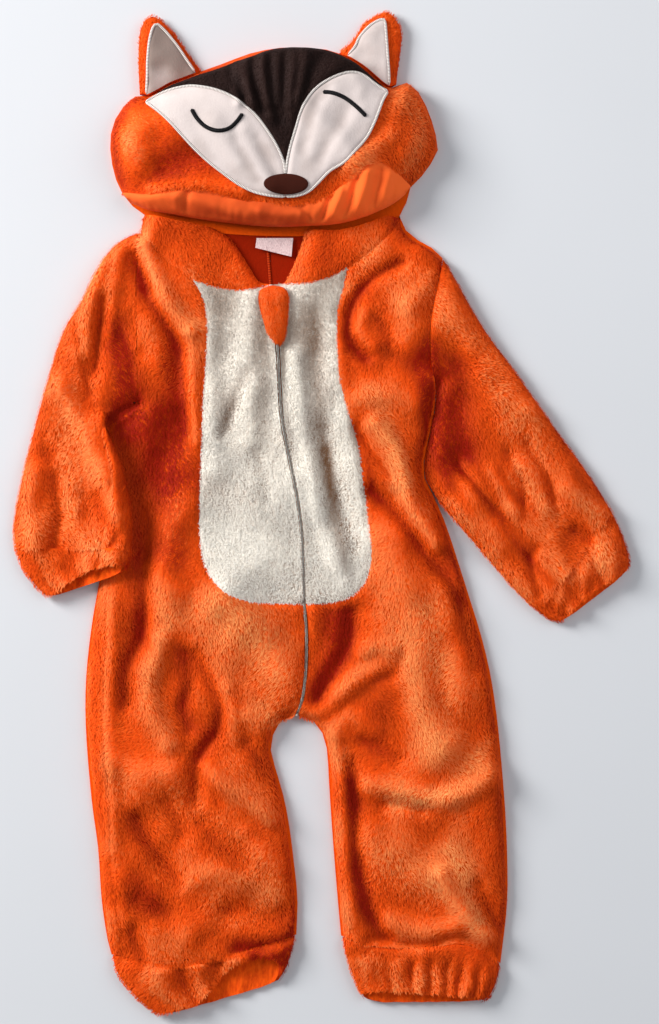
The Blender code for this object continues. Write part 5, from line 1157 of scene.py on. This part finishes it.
def make_body(s):
    """Front panels, belly and hood fronts, each a sheet of backing with its pile."""
    keel_left = np.vstack([lines["belly_left"], lines["centre_left_lower"], inner_of("inseam_left", -COVER)])
    keel_right = np.vstack([lines["belly_right"], lines["centre_right_lower"],
                            inner_of("inseam_right", COVER)])
    hole = lines["armhole_right"]
    side_left = np.vstack([lines["armhole_left"], under_arm()])
    side_right = np.vstack([inner_of("shoulder_right", -COVER, 12),
                            drawn_in(hole, -COVER * ease((ARMPIT - hole[:, 1]) / 20)),
                            drawn_in(lines["side_right"], -COVER)])
    bottom = {side: along(lines["belly_" + side], np.linspace(BELLY_SIDE, 1, 24)) for side in SIDES}
    outer = {side: along(lines["belly_" + side], np.linspace(0, BELLY_SIDE, 90)) for side in SIDES}
    plans = {
        "front_left": ("orange", side_left, keel_left, lines["neck_side_left"], lines["casing_left"], "left"),
        "front_right": ("orange", side_right, keel_right, lines["neck_side_right"][::-1],
                        lines["casing_right"][::-1], "right"),
        "belly_left": ("cream", outer["left"], lines["centre_left_upper"], lines["neck_belly_left"],
                       bottom["left"], "even"),
        "belly_right": ("cream", outer["right"], lines["centre_right_upper"],
                        lines["neck_belly_right"][::-1], bottom["right"], "even"),
        "hood_neck_left": ("orange", lines["shoulder_left"], inner_of("opening_left", COVER, 10),
                           np.vstack([lines["neck_side_left"], lines["neck_belly_left"]]),
                           lines["under_rim_left"][::-1], "even"),
        "hood_neck_right": ("orange", inner_of("opening_right", -COVER, 10), lines["shoulder_right"][:2],
                            np.vstack([lines["neck_belly_right"], lines["neck_side_right"]]),
                            lines["under_rim_right"], "even"),
    }
    looks = {
        "orange": {"parted": [(lines[name], 2.2) for name in SEWN]},
        "cream": {"parted": [(lines[f"centre_{side}_upper"], 1.3) for side in SIDES], "mess": 0.8,
                  "curl": 0.15, "streaks": 0.5, "light": belly_light},
    }
    for seed, (name, (colour, first, last, low, high, pairs)) in enumerate(plans.items()):
        grid, under, shade = body_grid(first, last, low, high, pairs)
        cloth = shell(name + "_backing", grid, under, finishes[colour + "_backing"],
                      colour + "_plush", [name], tone=backing_tone(shade, normals_of(grid)))
        length, lean = (0.68, 0.85) if colour == "cream" else (1, 1)
        hair = pile(name + "_pile", grid, shade, finishes[colour + "_pile"], colour + "_plush",
                    100 + seed, s.pile_density, length * s.pile_length / MM, s.pile_width / MM,
                    lean * math.degrees(s.pile_lean), **looks[colour])


def straight(here, down):
    """A tube without gathers: nothing at any share across and down it."""
    return 0 * here * down


def gathers(name):
    """The gathers of a casing drawn in on elastic, as in the frame: a bell-shaped ridge or trough
    for each of its table, growing from the groove at the seam, and finer puckers between them."""
    def wave(here, down):
        """The height that the gathers add at shares across and down the casing."""
        total = np.zeros(np.broadcast(here, down).shape)
        for middle, width, height in GATHERS[name]:
            total = total + height * np.exp(-(((here - middle) / width) ** 2))
        pucker = 0.5 * uneven(np.stack([here * 100 + 0 * down, 14 * down + 0 * here], -1), 9, 77, 8)
        open_out = ease(down / CASING_SHARE)
        groove = 0.35 * CASING_GROOVES[name] * (1 - open_out)
        return GATHERED * (total + pucker) * (0.2 + 0.8 * open_out) - groove
    return wave


def lip_of(name):
    """The function of the share across that says how far a cuff's upper layer is drawn back."""
    least, most, start, end = LIPS[name]
    return lambda share: least + (most - least) * ease((share - start) / (end - start))


def tube_height(table):
    """The thickness of a sleeve with the folds of a table and some unevenness."""
    def height(at):
        """A sleeve's thickness at places in plan."""
        fold = folds(at, softened(table), FOLD_RISE, FOLD_SINK)
        return SLEEVE_TOP + fold + 0.8 * uneven(at, 60, 8) + 0.3 * uneven(at, 30, 9)
    return height


def nap_along(rows):
    """The heading of the pile along a sleeve, in degrees: its middle line's own."""
    first, last = (rows[k].reshape(2, 2).mean(0) for k in (0, -1))
    return math.degrees(math.atan2(last[1] - first[1], last[0] - first[0]))


def wrapped(walls):
    """The outer wall as an open grid whose last column repeats its first, and its shading."""
    return tuple(np.concatenate([g, g[:, :1]], 1) for g in (walls[0], walls[2]))


def make_sleeves(s):
    """Both sleeves and their elasticated cuffs, as flattened tubes of backing with their pile. A
    sleeve's pile lies partly along it, and partly down the garment."""
    for side, away, lift in (("left", -SEAM_SHIFT, over_body), ("right", SEAM_SHIFT, resting)):
        sleeve, cuff = (SHAPES[f"{kind}_{side}"].reshape(-1, 4) for kind in ("sleeve", "cuff"))
        hole = lines["armhole_" + side] + (away * 0.4, 0)
        meets = (lambda at: body_cloth(at)[0]) if side == "left" else None
        walls = tube_walls(sleeve, hole, tube_height(SLEEVE_FOLDS[side]), lift, straight, meets=meets)
        tube_piece("sleeve_" + side, walls, s, 0.65 * nap_along(sleeve) - 0.35 * 90,
                   [(lines["armhole_right"], 2.0)], 200 + away)
        kind = "sleeve_" + side
        walls = tube_walls(cuff, cuff[0].reshape(2, 2), tube_height([]), lift, gathers(kind),
                           lip_of(kind), CUFF_GRID)
        tube_piece("sleeve_cuff_" + side, walls, s, nap_along(sleeve), (), 210 + away)


def tube_piece(name, walls, s, nap, seam, seed):
    """A tube's backing and pile."""
    cloth = tube(name + "_backing", walls, finishes["orange_backing"], "orange_plush", [name])
    hair = pile(name + "_pile", *wrapped(walls), finishes["orange_pile"], "orange_plush", int(seed),
                s.pile_density, s.pile_length / MM, s.pile_width / MM, math.degrees(s.pile_lean),
                nap=nap, parted=seam)


def make_leg_cuffs(s):
    """The elasticated casings at the ends of the legs, the upper layer drawn back."""
    for side, order, seed in (("left", 1, 41), ("right", -1, 43)):
        cuff = SHAPES["leg_cuff_" + side].reshape(-1, 4)
        seam = lines["casing_" + side][::order] - (0, SEAM_SHIFT * 0.4)
        walls = tube_walls(cuff, seam, tube_height([]), resting, gathers("leg_" + side),
                           lip_of("leg_" + side), CUFF_GRID, lambda at: body_cloth(at)[0])
        tube_piece("leg_cuff_" + side, walls, s, -90, (), 220 + seed)


def make_hood(s):
    """The hood's plush dome with its pile, and the jersey band gathered along its rim."""
    edge = drawn_in(lines["hood_edge"], -COVER)
    plan = fan(lines["hood_seam"], edge, 3.2)
    top, under, shade = hood_cloth(plan)
    grid = at_height(plan, top)
    face = [crown_outline(), cheek_outline("left"), cheek_outline("right")]
    cloth = shell("hood_backing", grid, under, finishes["orange_backing"], "orange_plush", ["hood_top"],
                  tone=backing_tone(shade, normals_of(grid), 0.3))
    middle = np.array(HOOD_MIDDLE)

    def nap(at):
        """Pile that runs outwards and down from the hood's top."""
        out = at - middle
        return np.degrees(np.arctan2(out[:, 1] * 0.35 - 38, out[:, 0] * 0.75))

    # The hood's pile gets painted shade on its left and painted light on its right, and only a share of the
    # slopes' painted light and shade
    hair = pile("hood_pile", grid, shade, finishes["orange_pile"], "orange_plush", 300,
                s.pile_density, s.pile_length / MM, s.pile_width / MM, math.degrees(s.pile_lean), nap=nap,
                keep=lambda at: ~np.any([inside(at, outline) for outline in face], axis=0), share=0.3,
                light=lambda at: -0.08 + 0.12 * np.tanh((at[:, 0] + 50) / 70))
    make_lining()


def make_lining():
    """Jersey casing of the hood's elastic: a band that rolls over from the plush to the rim, with
    wrinkles that fan out from the rim, uneven in spacing and height."""
    seam, rim = lines["hood_seam"], lines["hood_rim"]
    rows, columns = LINING_GRID
    share = np.linspace(0, 1, columns)
    v = np.linspace(0, 1, rows)[:, None]
    first, last = along(seam, share), along(rim, share)
    plan = first + (last - first) * v[..., None]
    spot = np.stack([np.broadcast_to(share * 260, (rows, columns)), 9 * v + 0 * share], -1)
    phase = 2 * math.pi * (LINING_PUCKERS * share + 0.5 * uneven(spot, 60, 51, 8))
    pucker = (0.6 + 0.4 * uneven(spot, 45, 52, 8)) * np.sin(phase) + 0.5 * uneven(spot, 8, 53)
    hem = np.minimum(v / 0.15, (1 - v) / 0.25)
    rolled = 2.4 * np.sin(math.pi * v) + 0.55 * pucker * (0.15 + 0.85 * v**2)
    top = hood_height(plan) - 2.4 + rolled + folds(plan, LINING_FOLDS) * ease(hem)
    under = np.minimum(np.maximum(top - 3.2, LOWEST), top - 0.6)
    x = plan[..., 0]
    # Painted light and shade along the band: lighter near its left end and brighter to the right, and darker
    # towards the rim
    tone = 0.5 + 0.25 * np.exp(-(((x + 165) / 45) ** 2)) + 0.4 * ease((x + 30) / 50) - 0.15 * v
    cloth = shell("hood_lining_band", at_height(plan, top), under, finishes["orange_jersey"],
                  "orange_jersey", ["hood_lining"], tone=tone)


# ---- the face and ears

def crown_outline():
    """The crown's outline: over its top, and back along the tops of both cheeks."""
    return np.vstack([curve(SHAPES["crown_top"]), curve(SHAPES["cheek_right_upper"])[::-1],
                      curve(SHAPES["cheek_left_upper"])[::-1]])


def cheek_outline(side):
    """A cheek's outline: over its top, and back along its lower edge."""
    return np.vstack([curve(SHAPES[f"cheek_{side}_upper"]), curve(SHAPES[f"cheek_{side}_lower"])[::-1]])


def applied_height(plan, thick, outline, folded=()):
    """Top of a piece sewn on the hood: it follows the dome and is drawn down at its own edge, its
    fullness a quarter circle over the first millimetres."""
    near = distance(plan, outline)
    return hood_height(plan) + 0.1 + thick * quarter(near / 5) + folds(plan, folded) * ease(near / 6)


def applied(name, plan, thick, finish, slot, stands_for, outline, folded=()):
    """A piece sewn on the hood, as a closed shell, with its top grid and the painted light and shade of its
    folds.
    """
    top = applied_height(plan, thick, outline, folded)
    rise = thick * quarter(distance(plan, outline) / 5)
    grid = at_height(plan, top)
    shade = shading(1.6 * folds(plan, folded))
    piece = shell(name, grid, top - 0.6 - 0.6 * rise, finish, slot, stands_for, tone=backing_tone(shade))
    return piece, grid, shade


def make_face(s):
    """The face on the hood: a dark crown with short pile, two velour cheeks edged with satin
    stitch, closed eyes and a nose in satin stitch."""
    edges = {(side, part): curve(SHAPES[f"cheek_{side}_{part}"], 2)
             for side in SIDES for part in ("upper", "lower")}
    valley = np.vstack([edges["left", "upper"], edges["right", "upper"][1:]])
    plan = fan(valley, curve(SHAPES["crown_top"], 2), 2.4)
    border = crown_outline()
    border = np.vstack([border, border[:1]])
    crown, grid, shade = applied("crown_backing", plan, 1.6, finishes["brown_backing"], "brown_plush",
                                 ["hood_crown"], border, CROWN_FOLDS)
    hair = pile("crown_pile", grid, shade, finishes["brown_pile"], "brown_plush", 310, 1.3,
                2.4, 0.6, 66, nap=-80, streaks=0.7, curl=0.2,
                keep=lambda at: distance(at, border) > 2.2)
    for side in SIDES:
        upper, lower = edges[side, "upper"], edges[side, "lower"]
        cheek, *_ = applied(f"cheek_{side}_velour", fan(lower, upper, 2.2), 2.0, finishes["white_velour"],
                            "white_velour", ["cheek_" + side], cheek_outline(side), CHEEK_FOLDS[side])
        for part, line in (("upper", upper), ("lower", lower)):
            path = np.column_stack([line, hood_height(line) + 1.4])
            cord_along(f"cheek_{side}_{part}_stitch", path, s.stitch_width / MM, 1.7,
                       finishes["white_thread"], "white_velour")
    for side in SIDES:
        line = curve(SHAPES["eye_" + side], 1.2)
        level = applied_height(line, 2.0, cheek_outline(side), CHEEK_FOLDS[side]) + 0.5
        cord_along("eye_" + side + "_stitch", np.column_stack([line, level]), 3.6, 1.8,
                   finishes["black_thread"], "black_thread", ["eye_" + side], ends=1.2)
    make_nose()


def disc(centre, outline, rings):
    """A grid of rings from a centre to a closed outline, as shares of the way out."""
    share = np.sin(np.linspace(0, math.pi / 2, rings))[:, None, None]
    return centre + (outline - centre) * share


def domed(name, plan, low, rise, power, finish, slot, stands_for, **values):
    """A closed cushion from a grid of rings: its height falls from the middle to the outline as
    a power of one less the share's square, and its underside is the grid at the heights `low`.
    At a power of 0, `rise` is its height at each point."""
    rings, n = plan.shape[:2]
    share = np.sin(np.linspace(0, math.pi / 2, rings))[:, None]
    top = low + rise * np.maximum(1 - share**2, 0) ** power if power else low + rise
    at = np.vstack([at_height(plan, level).reshape(-1, 3) for level in (top, low)])
    up, up_place = grid_faces(rings, n, 0, True, (0.01, 0.52, 0.98, 0.47))
    down, down_place = grid_faces(rings, n, rings * n, True, (0.01, 0.02, 0.98, 0.47))
    doubled = {key: np.tile(value.ravel(), 2) for key, value in values.items()}
    piece = put(name, at, [up, down[:, ::-1]], [up_place, down_place[:, ::-1]], finish, slot, stands_for,
                **doubled)
    return piece, at_height(plan, top)


def make_nose():
    """The nose: a low cushion of satin stitch, its threads laid across its width."""
    turn = np.linspace(0, 2 * math.pi, 64, endpoint=False)
    ring = NOSE_CENTRE + NOSE_HALF * np.column_stack([np.cos(turn), np.sin(turn)])
    plan = disc(NOSE_CENTRE, ring, 14)
    low = hood_height(plan) + 2.9
    domed("nose_stitch", plan, low, 2.2, 0.4, finishes["brown_thread"], "brown_thread", ["nose"],
          run=plan[..., 0] - plan[0, 0, 0])


def make_ears(s):
    """Each ear: a stuffed plush back and the white velour front sewn to it, edged with stitching.
    An outline's points up to its first corner are one side, and those from its last the other."""
    edge = lines["hood_edge"]
    for side, corners, inner_corner, seed in (("left", (4, 6), 4, 320), ("right", (3, 5), 4, 325)):
        outer, inner = SHAPES["ear_" + side], SHAPES[f"ear_{side}_inner"]
        foot_ends = [nearest_to(edge, p) for p in (outer[0], outer[-1])]
        foot = edge[foot_ends[0]:foot_ends[1] + 1] + (0, 0.6)
        up_side, down_side = curve(outer[:corners[0] + 1]), curve(outer[corners[1]:])[::-1]
        top = curve(outer[corners[0]:corners[1] + 1], 1.5)
        whole = np.vstack([up_side, top, down_side[::-1]])
        plan = rungs(drawn_in(up_side, -2.0), drawn_in(down_side, 2.0), foot, top - (0, 2.0), 2.6)
        level = ear_height(plan, side, whole) - 2.2
        # Painted shade on the round of the ear's edge
        shade = -0.5 * (1 - quarter((distance(plan, whole) - 2) / 8))
        grid = at_height(plan, level)
        ear = shell(f"ear_{side}_back", grid, 0 * level + 0.4, finishes["orange_backing"], "orange_plush",
                    ["ear_" + side], tone=backing_tone(shade))
        face = curve(inner)
        pile(f"ear_{side}_pile", grid, shade, finishes["orange_pile"], "orange_plush", seed,
             s.pile_density, 3.2, s.pile_width / MM, 62, nap=80, drift=10, curl=0.1,
             keep=lambda at: ~inside(at, np.vstack([face, foot[::-1]])))
        first, last = curve(inner[:inner_corner + 1]), curve(inner[inner_corner:])[::-1]
        evenly = np.linspace(0, 1, len(foot))
        ends = [evenly[nearest_to(foot, p)] for p in (first[0], last[0])]
        plan = rungs(first, last, along(foot, np.linspace(*ends, 20)), np.array([first[-1], last[-1]]), 2.2)
        rise = 1.3 * quarter(distance(plan, face) / 4)
        level = ear_height(plan, side, whole) + rise + 0.4 * uneven(plan, 24, 61)
        # The left ear's velour is painted in shade, as turned from the light
        turned = -1.25 + 0.3 * uneven(plan, 60, 62) if side == "left" else 0 * level
        white = shell(f"ear_{side}_front", at_height(plan, level), level - 1.2, finishes["white_velour"],
                      "white_velour", [f"ear_{side}_inner"], tone=backing_tone(turned))
        level = ear_height(face, side, whole) + 0.9
        cord_along(f"ear_{side}_stitch", np.column_stack([face, level]), s.stitch_width / MM, 1.5,
                   finishes["white_thread"], "white_velour")


def nearest_to(line, point):
    """The number of a line's point that is nearest to a place."""
    return int(np.argmin(np.linalg.norm(line - point, axis=1)))


# ---- closing, label and back

def make_zip(s):
    """The closed zip: a tape down the middle of the front with its two rows of coil, and the
    padded tongue sewn over its head."""
    middle = np.vstack([lines["centre_upper"], lines["centre_lower"][1:]])
    middle = along(middle, np.linspace(0, 1, 260))
    level = body_cloth(middle)[0] - 0.3
    across = across_of(middle)
    offset = np.linspace(-ZIP_HALF, ZIP_HALF, 7)[:, None, None]
    top = level + 0.5 * (1 - (offset[..., 0] / ZIP_HALF) ** 2)
    grid = at_height(middle + offset * across, top)
    tape = shell("zip_tape", grid, top - 0.9, finishes["zip_tape"], "zip_tape", ["zip"])
    run = run_of(middle)
    pitch = s.zip_pitch / MM
    for side, turn in (("left", -1), ("right", 1)):
        spot = np.arange(0.3, 0.995 * run[-1], pitch / 3)
        line = np.column_stack([np.interp(spot, run, middle[:, k]) for k in (0, 1)])
        out = np.column_stack([np.interp(spot, run, across[:, k]) for k in (0, 1)])
        coil = spot / pitch * 2 * math.pi
        at = line + turn * out * (0.26 + 0.2 * np.cos(coil))[:, None]
        height = np.interp(spot, run, level) + 0.75 + 0.25 * np.sin(coil)
        cord_along("zip_coil_" + side, np.column_stack([at, height]), 0.5, 0.5, finishes["zip_coil"],
                   "zip_tape", sides=4)
    make_tab()


def make_tab():
    """The tongue over the zip's head: a stuffed teardrop of short plush."""
    outline = curve(np.vstack([SHAPES["tab"], SHAPES["tab"][:1]]), 2)
    centre = np.array(TAB_CENTRE)
    plan = disc(centre, centre + (outline[:-1] - centre) * 0.96, 14)
    low = body_height(plan) + 0.6
    share = np.sin(np.linspace(0, math.pi / 2, 14))[:, None]
    rise = TAB_RISE * np.maximum(1 - share**2, 0) ** 0.45 - (low - low.mean()) * 0.85
    piece, grid = domed("zip_tab_cushion", plan, low, np.maximum(rise, 0.4 * (1 - share)), 0,
                        finishes["orange_backing"], "orange_plush", ["zip_tab"],
                        tone=backing_tone(0.2 + 0 * low))
    grid = np.concatenate([grid, grid[:, :1]], 1)[1:]
    pile("zip_tab_pile", grid, 0 * grid[..., 0], finishes["orange_pile"], "orange_plush", 330,
         1.8, 2.6, 0.5, 60, drift=10, curl=0.1, light=0.08, share=0.5)


def make_back():
    """The back panels and the hood's under layer, as in the frame, in pressed plush; the seams
    inside the neck, and the bare label sewn over them."""
    # The back panels and the hood's under layer carry painted shade inside ovals, where the hood shadows them
    for name, finish in (("back_left", "neck_inside"), ("back_right", "neck_inside"),
                         ("hood_back", "hood_inside")):
        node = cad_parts[name]
        node.data.materials.clear()
        node.data.materials.append(finishes[finish])
    line = along(curve(SHAPES["centre_back"]), np.linspace(0, 0.12, 60))
    path = np.column_stack([line, np.full(len(line), BACK_TOP + 0.7)])
    cord_along("back_seam_overlock", path, 2.2, 0.7, finishes["orange_thread"], "orange_plush")
    make_label()


def make_label():
    """The sewn-in label, bare: a folded satin ribbon that curls up a little at its loose end."""
    corners = SHAPES["label"]
    u, v = np.linspace(0, 1, 22)[:, None], np.linspace(0, 1, 14)[:, None, None]
    plan = (corners[0] * (1 - u) + corners[1] * u) * (1 - v) + (corners[3] * (1 - u) + corners[2] * u) * v
    top = BACK_TOP + 2.6 + 2.0 * v[..., 0] ** 2 + 0.4 * np.sin(2.4 * math.pi * u[:, 0]) * v[..., 0]
    label = shell("label_ribbon", at_height(plan, top), top - 0.5, finishes["label_satin"], "label_satin",
                  ["label"])


# ---- stage

def make_stage(c):
    """Floor, light and camera: a pale floor, soft light from a window at the upper left, and the
    camera straight above. Its focal length is the sensor's height times its distance from the
    cloth over the height that it sees there."""
    scene = bpy.context.scene
    centre = (SHIFT[:2] + VIEW_CENTRE) * MM
    mesh = bpy.data.meshes.new("floor")
    half = FLOOR_SIZE / 2
    mesh.from_pydata([(x * half, y * half, FLOOR_LEVEL) for x, y in ((-1, -1), (1, -1), (1, 1), (-1, 1))],
                     [], [(0, 1, 2, 3)])
    made, tree, shader = finish_of("pale painted floor", Roughness=0.9, Specular_IOR_Level=0.1)
    uneven_paint = add(tree, "Mix", {0: speckle(tree, 300), 6: [0.94 * x for x in c.floor], 7: c.floor},
                       data_type="RGBA")
    tree.links.new(uneven_paint.outputs[2], shader.inputs["Base Color"])
    mesh.materials.append(made)
    floor = bpy.data.objects.new("floor", mesh)
    scene.collection.objects.link(floor)
    for name, place, size, power, tint in (
        ("window", (-2.5, 1.3, 1.45), 1.3, 150, (1.0, 0.99, 0.975)),
        ("room", (1.9, 0.9, 2.0), 2.2, 26, (0.97, 0.98, 1.0)),
    ):
        lamp = bpy.data.lights.new(name, "AREA")
        lamp.shape, lamp.size, lamp.energy, lamp.color = "SQUARE", size, power, tint
        holder = bpy.data.objects.new(name, lamp)
        scene.collection.objects.link(holder)
        holder.location = place
        aim = -np.array(place)
        holder.rotation_euler = (math.acos(-aim[2] / np.linalg.norm(aim)), 0,
                                 math.atan2(aim[1], aim[0]) - math.pi / 2)
    scene.world = bpy.data.worlds.new("studio")
    scene.world.use_nodes = True
    sky = scene.world.node_tree.nodes["Background"]
    sky.inputs["Color"].default_value = (0.93, 0.96, 1.0, 1)
    sky.inputs["Strength"].default_value = 0.35
    scene.view_settings.view_transform = "Standard"
    scene.view_settings.look = "None"
    lens = bpy.data.cameras.new("camera")
    lens.sensor_fit, lens.sensor_height = "VERTICAL", SENSOR
    lens.lens = SENSOR * (CAMERA_LEVEL - CLOTH_LEVEL) / (VIEW_HEIGHT * MM)
    lens.clip_start, lens.clip_end = 0.1, 20
    camera = bpy.data.objects.new("camera", lens)
    scene.collection.objects.link(camera)
    camera.location = (centre[0], centre[1], CAMERA_LEVEL)
    scene.camera = camera


# ---- the add-on

class OnesieSizes(bpy.types.PropertyGroup):
    """Sizes of the onesie's finish"""
    pile_length: bpy.props.FloatProperty(name="Pile length", description="Length of a tuft of plush",
                                         default=0.0046, min=0.001, max=0.02, unit="LENGTH")
    pile_width: bpy.props.FloatProperty(name="Tuft width", description="Width of a tuft of plush",
                                        default=0.00058, min=0.0002, max=0.004, unit="LENGTH")
    pile_lean: bpy.props.FloatProperty(name="Pile lean", description="How far the pile leans over",
                                       default=math.radians(71), min=0, max=1.5, subtype="ANGLE")
    pile_density: bpy.props.FloatProperty(name="Pile density", description="Tufts on a square millimetre",
                                          default=1.07, min=0.05, max=3)
    stitch_width: bpy.props.FloatProperty(name="Edging width", description="Width of the satin stitch edging",
                                          default=0.0024, min=0.0005, max=0.006, unit="LENGTH")
    zip_pitch: bpy.props.FloatProperty(name="Zip pitch", description="Distance between two teeth",
                                       default=0.0017, min=0.0005, max=0.006, unit="LENGTH")


def colour_of(name, description, code):
    """A colour setting, given as sRGB hex."""
    return bpy.props.FloatVectorProperty(name=name, description=description, default=linear(code),
                                         subtype="COLOR", size=3, min=0, max=1)


class OnesieColours(bpy.types.PropertyGroup):
    """Colours of the onesie's cloths"""
    # The deep and pale colours of each plush are also its painted shade and painted highlight: the tone
    # reaches them in troughs, on slopes, under strokes, and at roots and tips
    orange: colour_of("Orange", "Plush, along its pile", "F85A0C")
    orange_deep: colour_of("Deep orange", "Plush, at the roots of its pile", "A81A00")
    orange_pale: colour_of("Pale orange", "Plush, at the tips of its pile", "FFA45E")
    # Painted shade colour of the insides of the neck and hood, under the hood
    orange_shaded_inside: colour_of("Inside orange", "Plush, the inside of its backing", "8A1A02")
    cream: colour_of("Cream", "Belly plush, along its pile", "ECE4D8")
    # Browned as shade with light thrown back from the orange: painted shade and painted reflection
    cream_deep: colour_of("Deep cream", "Belly plush, at the roots of its pile", "8C6446")
    cream_pale: colour_of("Pale cream", "Belly plush, at the tips of its pile", "FBF6EC")
    brown: colour_of("Dark brown", "Crown plush, along its pile", "2A1A17")
    brown_deep: colour_of("Deep brown", "Crown plush, at the roots of its pile", "140B09")
    brown_pale: colour_of("Pale brown", "Crown plush, at the tips of its pile", "4A3530")
    white: colour_of("White", "Velour of cheeks and ears", "D6C9C5")
    # Painted shade of the velour: in its folds and on the left ear, turned from the light
    white_shade: colour_of("Shaded white", "Velour where its pile is turned", "8E7C74")
    white_stitch: colour_of("White stitching", "Edging of cheeks and ears", "FFFBF6")
    black: colour_of("Black", "Stitching of the eyes", "1C1B1E")
    nose: colour_of("Brown", "Stitching of the nose", "5A2416")
    jersey: colour_of("Jersey orange", "Band of the hood", "FF6A28")
    jersey_shade: colour_of("Shaded jersey", "Band of the hood, in its wrinkles", "B4380C")
    seam: colour_of("Seam orange", "Overlock thread inside the neck", "BE3C0A")
    tape: colour_of("Zip grey", "Tape and coil of the zip", "C9C0B6")
    tape_shade: colour_of("Shaded zip grey", "Zip, between its threads and teeth", "7A7068")
    label: colour_of("Label", "Ribbon of the label", "E2C8C6")
    label_shade: colour_of("Shaded label", "Ribbon of the label between its threads", "BC9E9F")
    floor: colour_of("Floor", "Floor of the stage", "D4D6DA")


def prepared(context):
    """The scene's sizes, once its finishes are made and its seams sampled."""
    if not finishes:
        make_finishes(context.scene.onesie_colours)
        sew_lines()
    return context.scene.onesie_sizes


class MakeBody(bpy.types.Operator):
    """Makes the front panels, the belly and the fronts of the hood, with their pile"""
    bl_idname = "onesie.make_body"
    bl_label = "Body"
    bl_options = {"REGISTER", "UNDO"}

    def execute(self, context):
        make_body(prepared(context))
        return {"FINISHED"}


class MakeSleeves(bpy.types.Operator):
    """Makes the sleeves and their cuffs"""
    bl_idname = "onesie.make_sleeves"
    bl_label = "Sleeves"
    bl_options = {"REGISTER", "UNDO"}

    def execute(self, context):
        make_sleeves(prepared(context))
        return {"FINISHED"}


class MakeLegCuffs(bpy.types.Operator):
    """Makes the elasticated casings of the legs"""
    bl_idname = "onesie.make_leg_cuffs"
    bl_label = "Leg cuffs"
    bl_options = {"REGISTER", "UNDO"}

    def execute(self, context):
        make_leg_cuffs(prepared(context))
        return {"FINISHED"}


class MakeHood(bpy.types.Operator):
    """Makes the hood's dome and the jersey band along its rim"""
    bl_idname = "onesie.make_hood"
    bl_label = "Hood"
    bl_options = {"REGISTER", "UNDO"}

    def execute(self, context):
        make_hood(prepared(context))
        return {"FINISHED"}


class MakeFace(bpy.types.Operator):
    """Makes the crown, cheeks, eyes and nose on the hood"""
    bl_idname = "onesie.make_face"
    bl_label = "Face"
    bl_options = {"REGISTER", "UNDO"}

    def execute(self, context):
        make_face(prepared(context))
        return {"FINISHED"}


class MakeEars(bpy.types.Operator):
    """Makes the ears with their velour fronts"""
    bl_idname = "onesie.make_ears"
    bl_label = "Ears"
    bl_options = {"REGISTER", "UNDO"}

    def execute(self, context):
        make_ears(prepared(context))
        return {"FINISHED"}


class MakeZip(bpy.types.Operator):
    """Makes the zip and the tongue over its head"""
    bl_idname = "onesie.make_zip"
    bl_label = "Zip"
    bl_options = {"REGISTER", "UNDO"}

    def execute(self, context):
        make_zip(prepared(context))
        return {"FINISHED"}


class MakeBack(bpy.types.Operator):
    """Finishes the back panels, and makes the seams and the bare label inside the neck"""
    bl_idname = "onesie.make_back"
    bl_label = "Back and label"
    bl_options = {"REGISTER", "UNDO"}

    def execute(self, context):
        prepared(context)
        make_back()
        return {"FINISHED"}


class MakeStage(bpy.types.Operator):
    """Makes the floor, the lights and the camera"""
    bl_idname = "onesie.make_stage"
    bl_label = "Stage"
    bl_options = {"REGISTER", "UNDO"}

    def execute(self, context):
        make_stage(context.scene.onesie_colours)
        return {"FINISHED"}


MAKERS = (MakeBody, MakeSleeves, MakeLegCuffs, MakeHood, MakeFace, MakeEars, MakeZip, MakeBack,
          MakeStage)


class OnesiePanel(bpy.types.Panel):
    """Lists the makers and the settings that they read"""
    bl_idname = "VIEW3D_PT_onesie"
    bl_label = "Fox onesie"
    bl_space_type = "VIEW_3D"
    bl_region_type = "UI"
    bl_category = "Onesie"

    def draw(self, context):
        """Draws the settings, and then a button for each maker."""
        for group in (context.scene.onesie_sizes, context.scene.onesie_colours):
            box = self.layout.box()
            for name in group.__annotations__:
                box.prop(group, name)
        for maker in MAKERS:
            self.layout.operator(maker.bl_idname)


CLASSES = (OnesieSizes, OnesieColours, *MAKERS, OnesiePanel)


def register():
    """Registers the add-on's classes, and puts its settings on the scene."""
    for kind in CLASSES:
        bpy.utils.register_class(kind)
    bpy.types.Scene.onesie_sizes = bpy.props.PointerProperty(type=OnesieSizes)
    bpy.types.Scene.onesie_colours = bpy.props.PointerProperty(type=OnesieColours)


def unregister():
    """Takes the settings and classes away again."""
    del bpy.types.Scene.onesie_colours
    del bpy.types.Scene.onesie_sizes
    for kind in reversed(CLASSES):
        bpy.utils.unregister_class(kind)


def main():
    """Makes every piece in order."""
    register()
    for maker in MAKERS:
        group, call = maker.bl_idname.split(".")
        getattr(getattr(bpy.ops, group), call)()


if __name__ == "__main__":
    main()
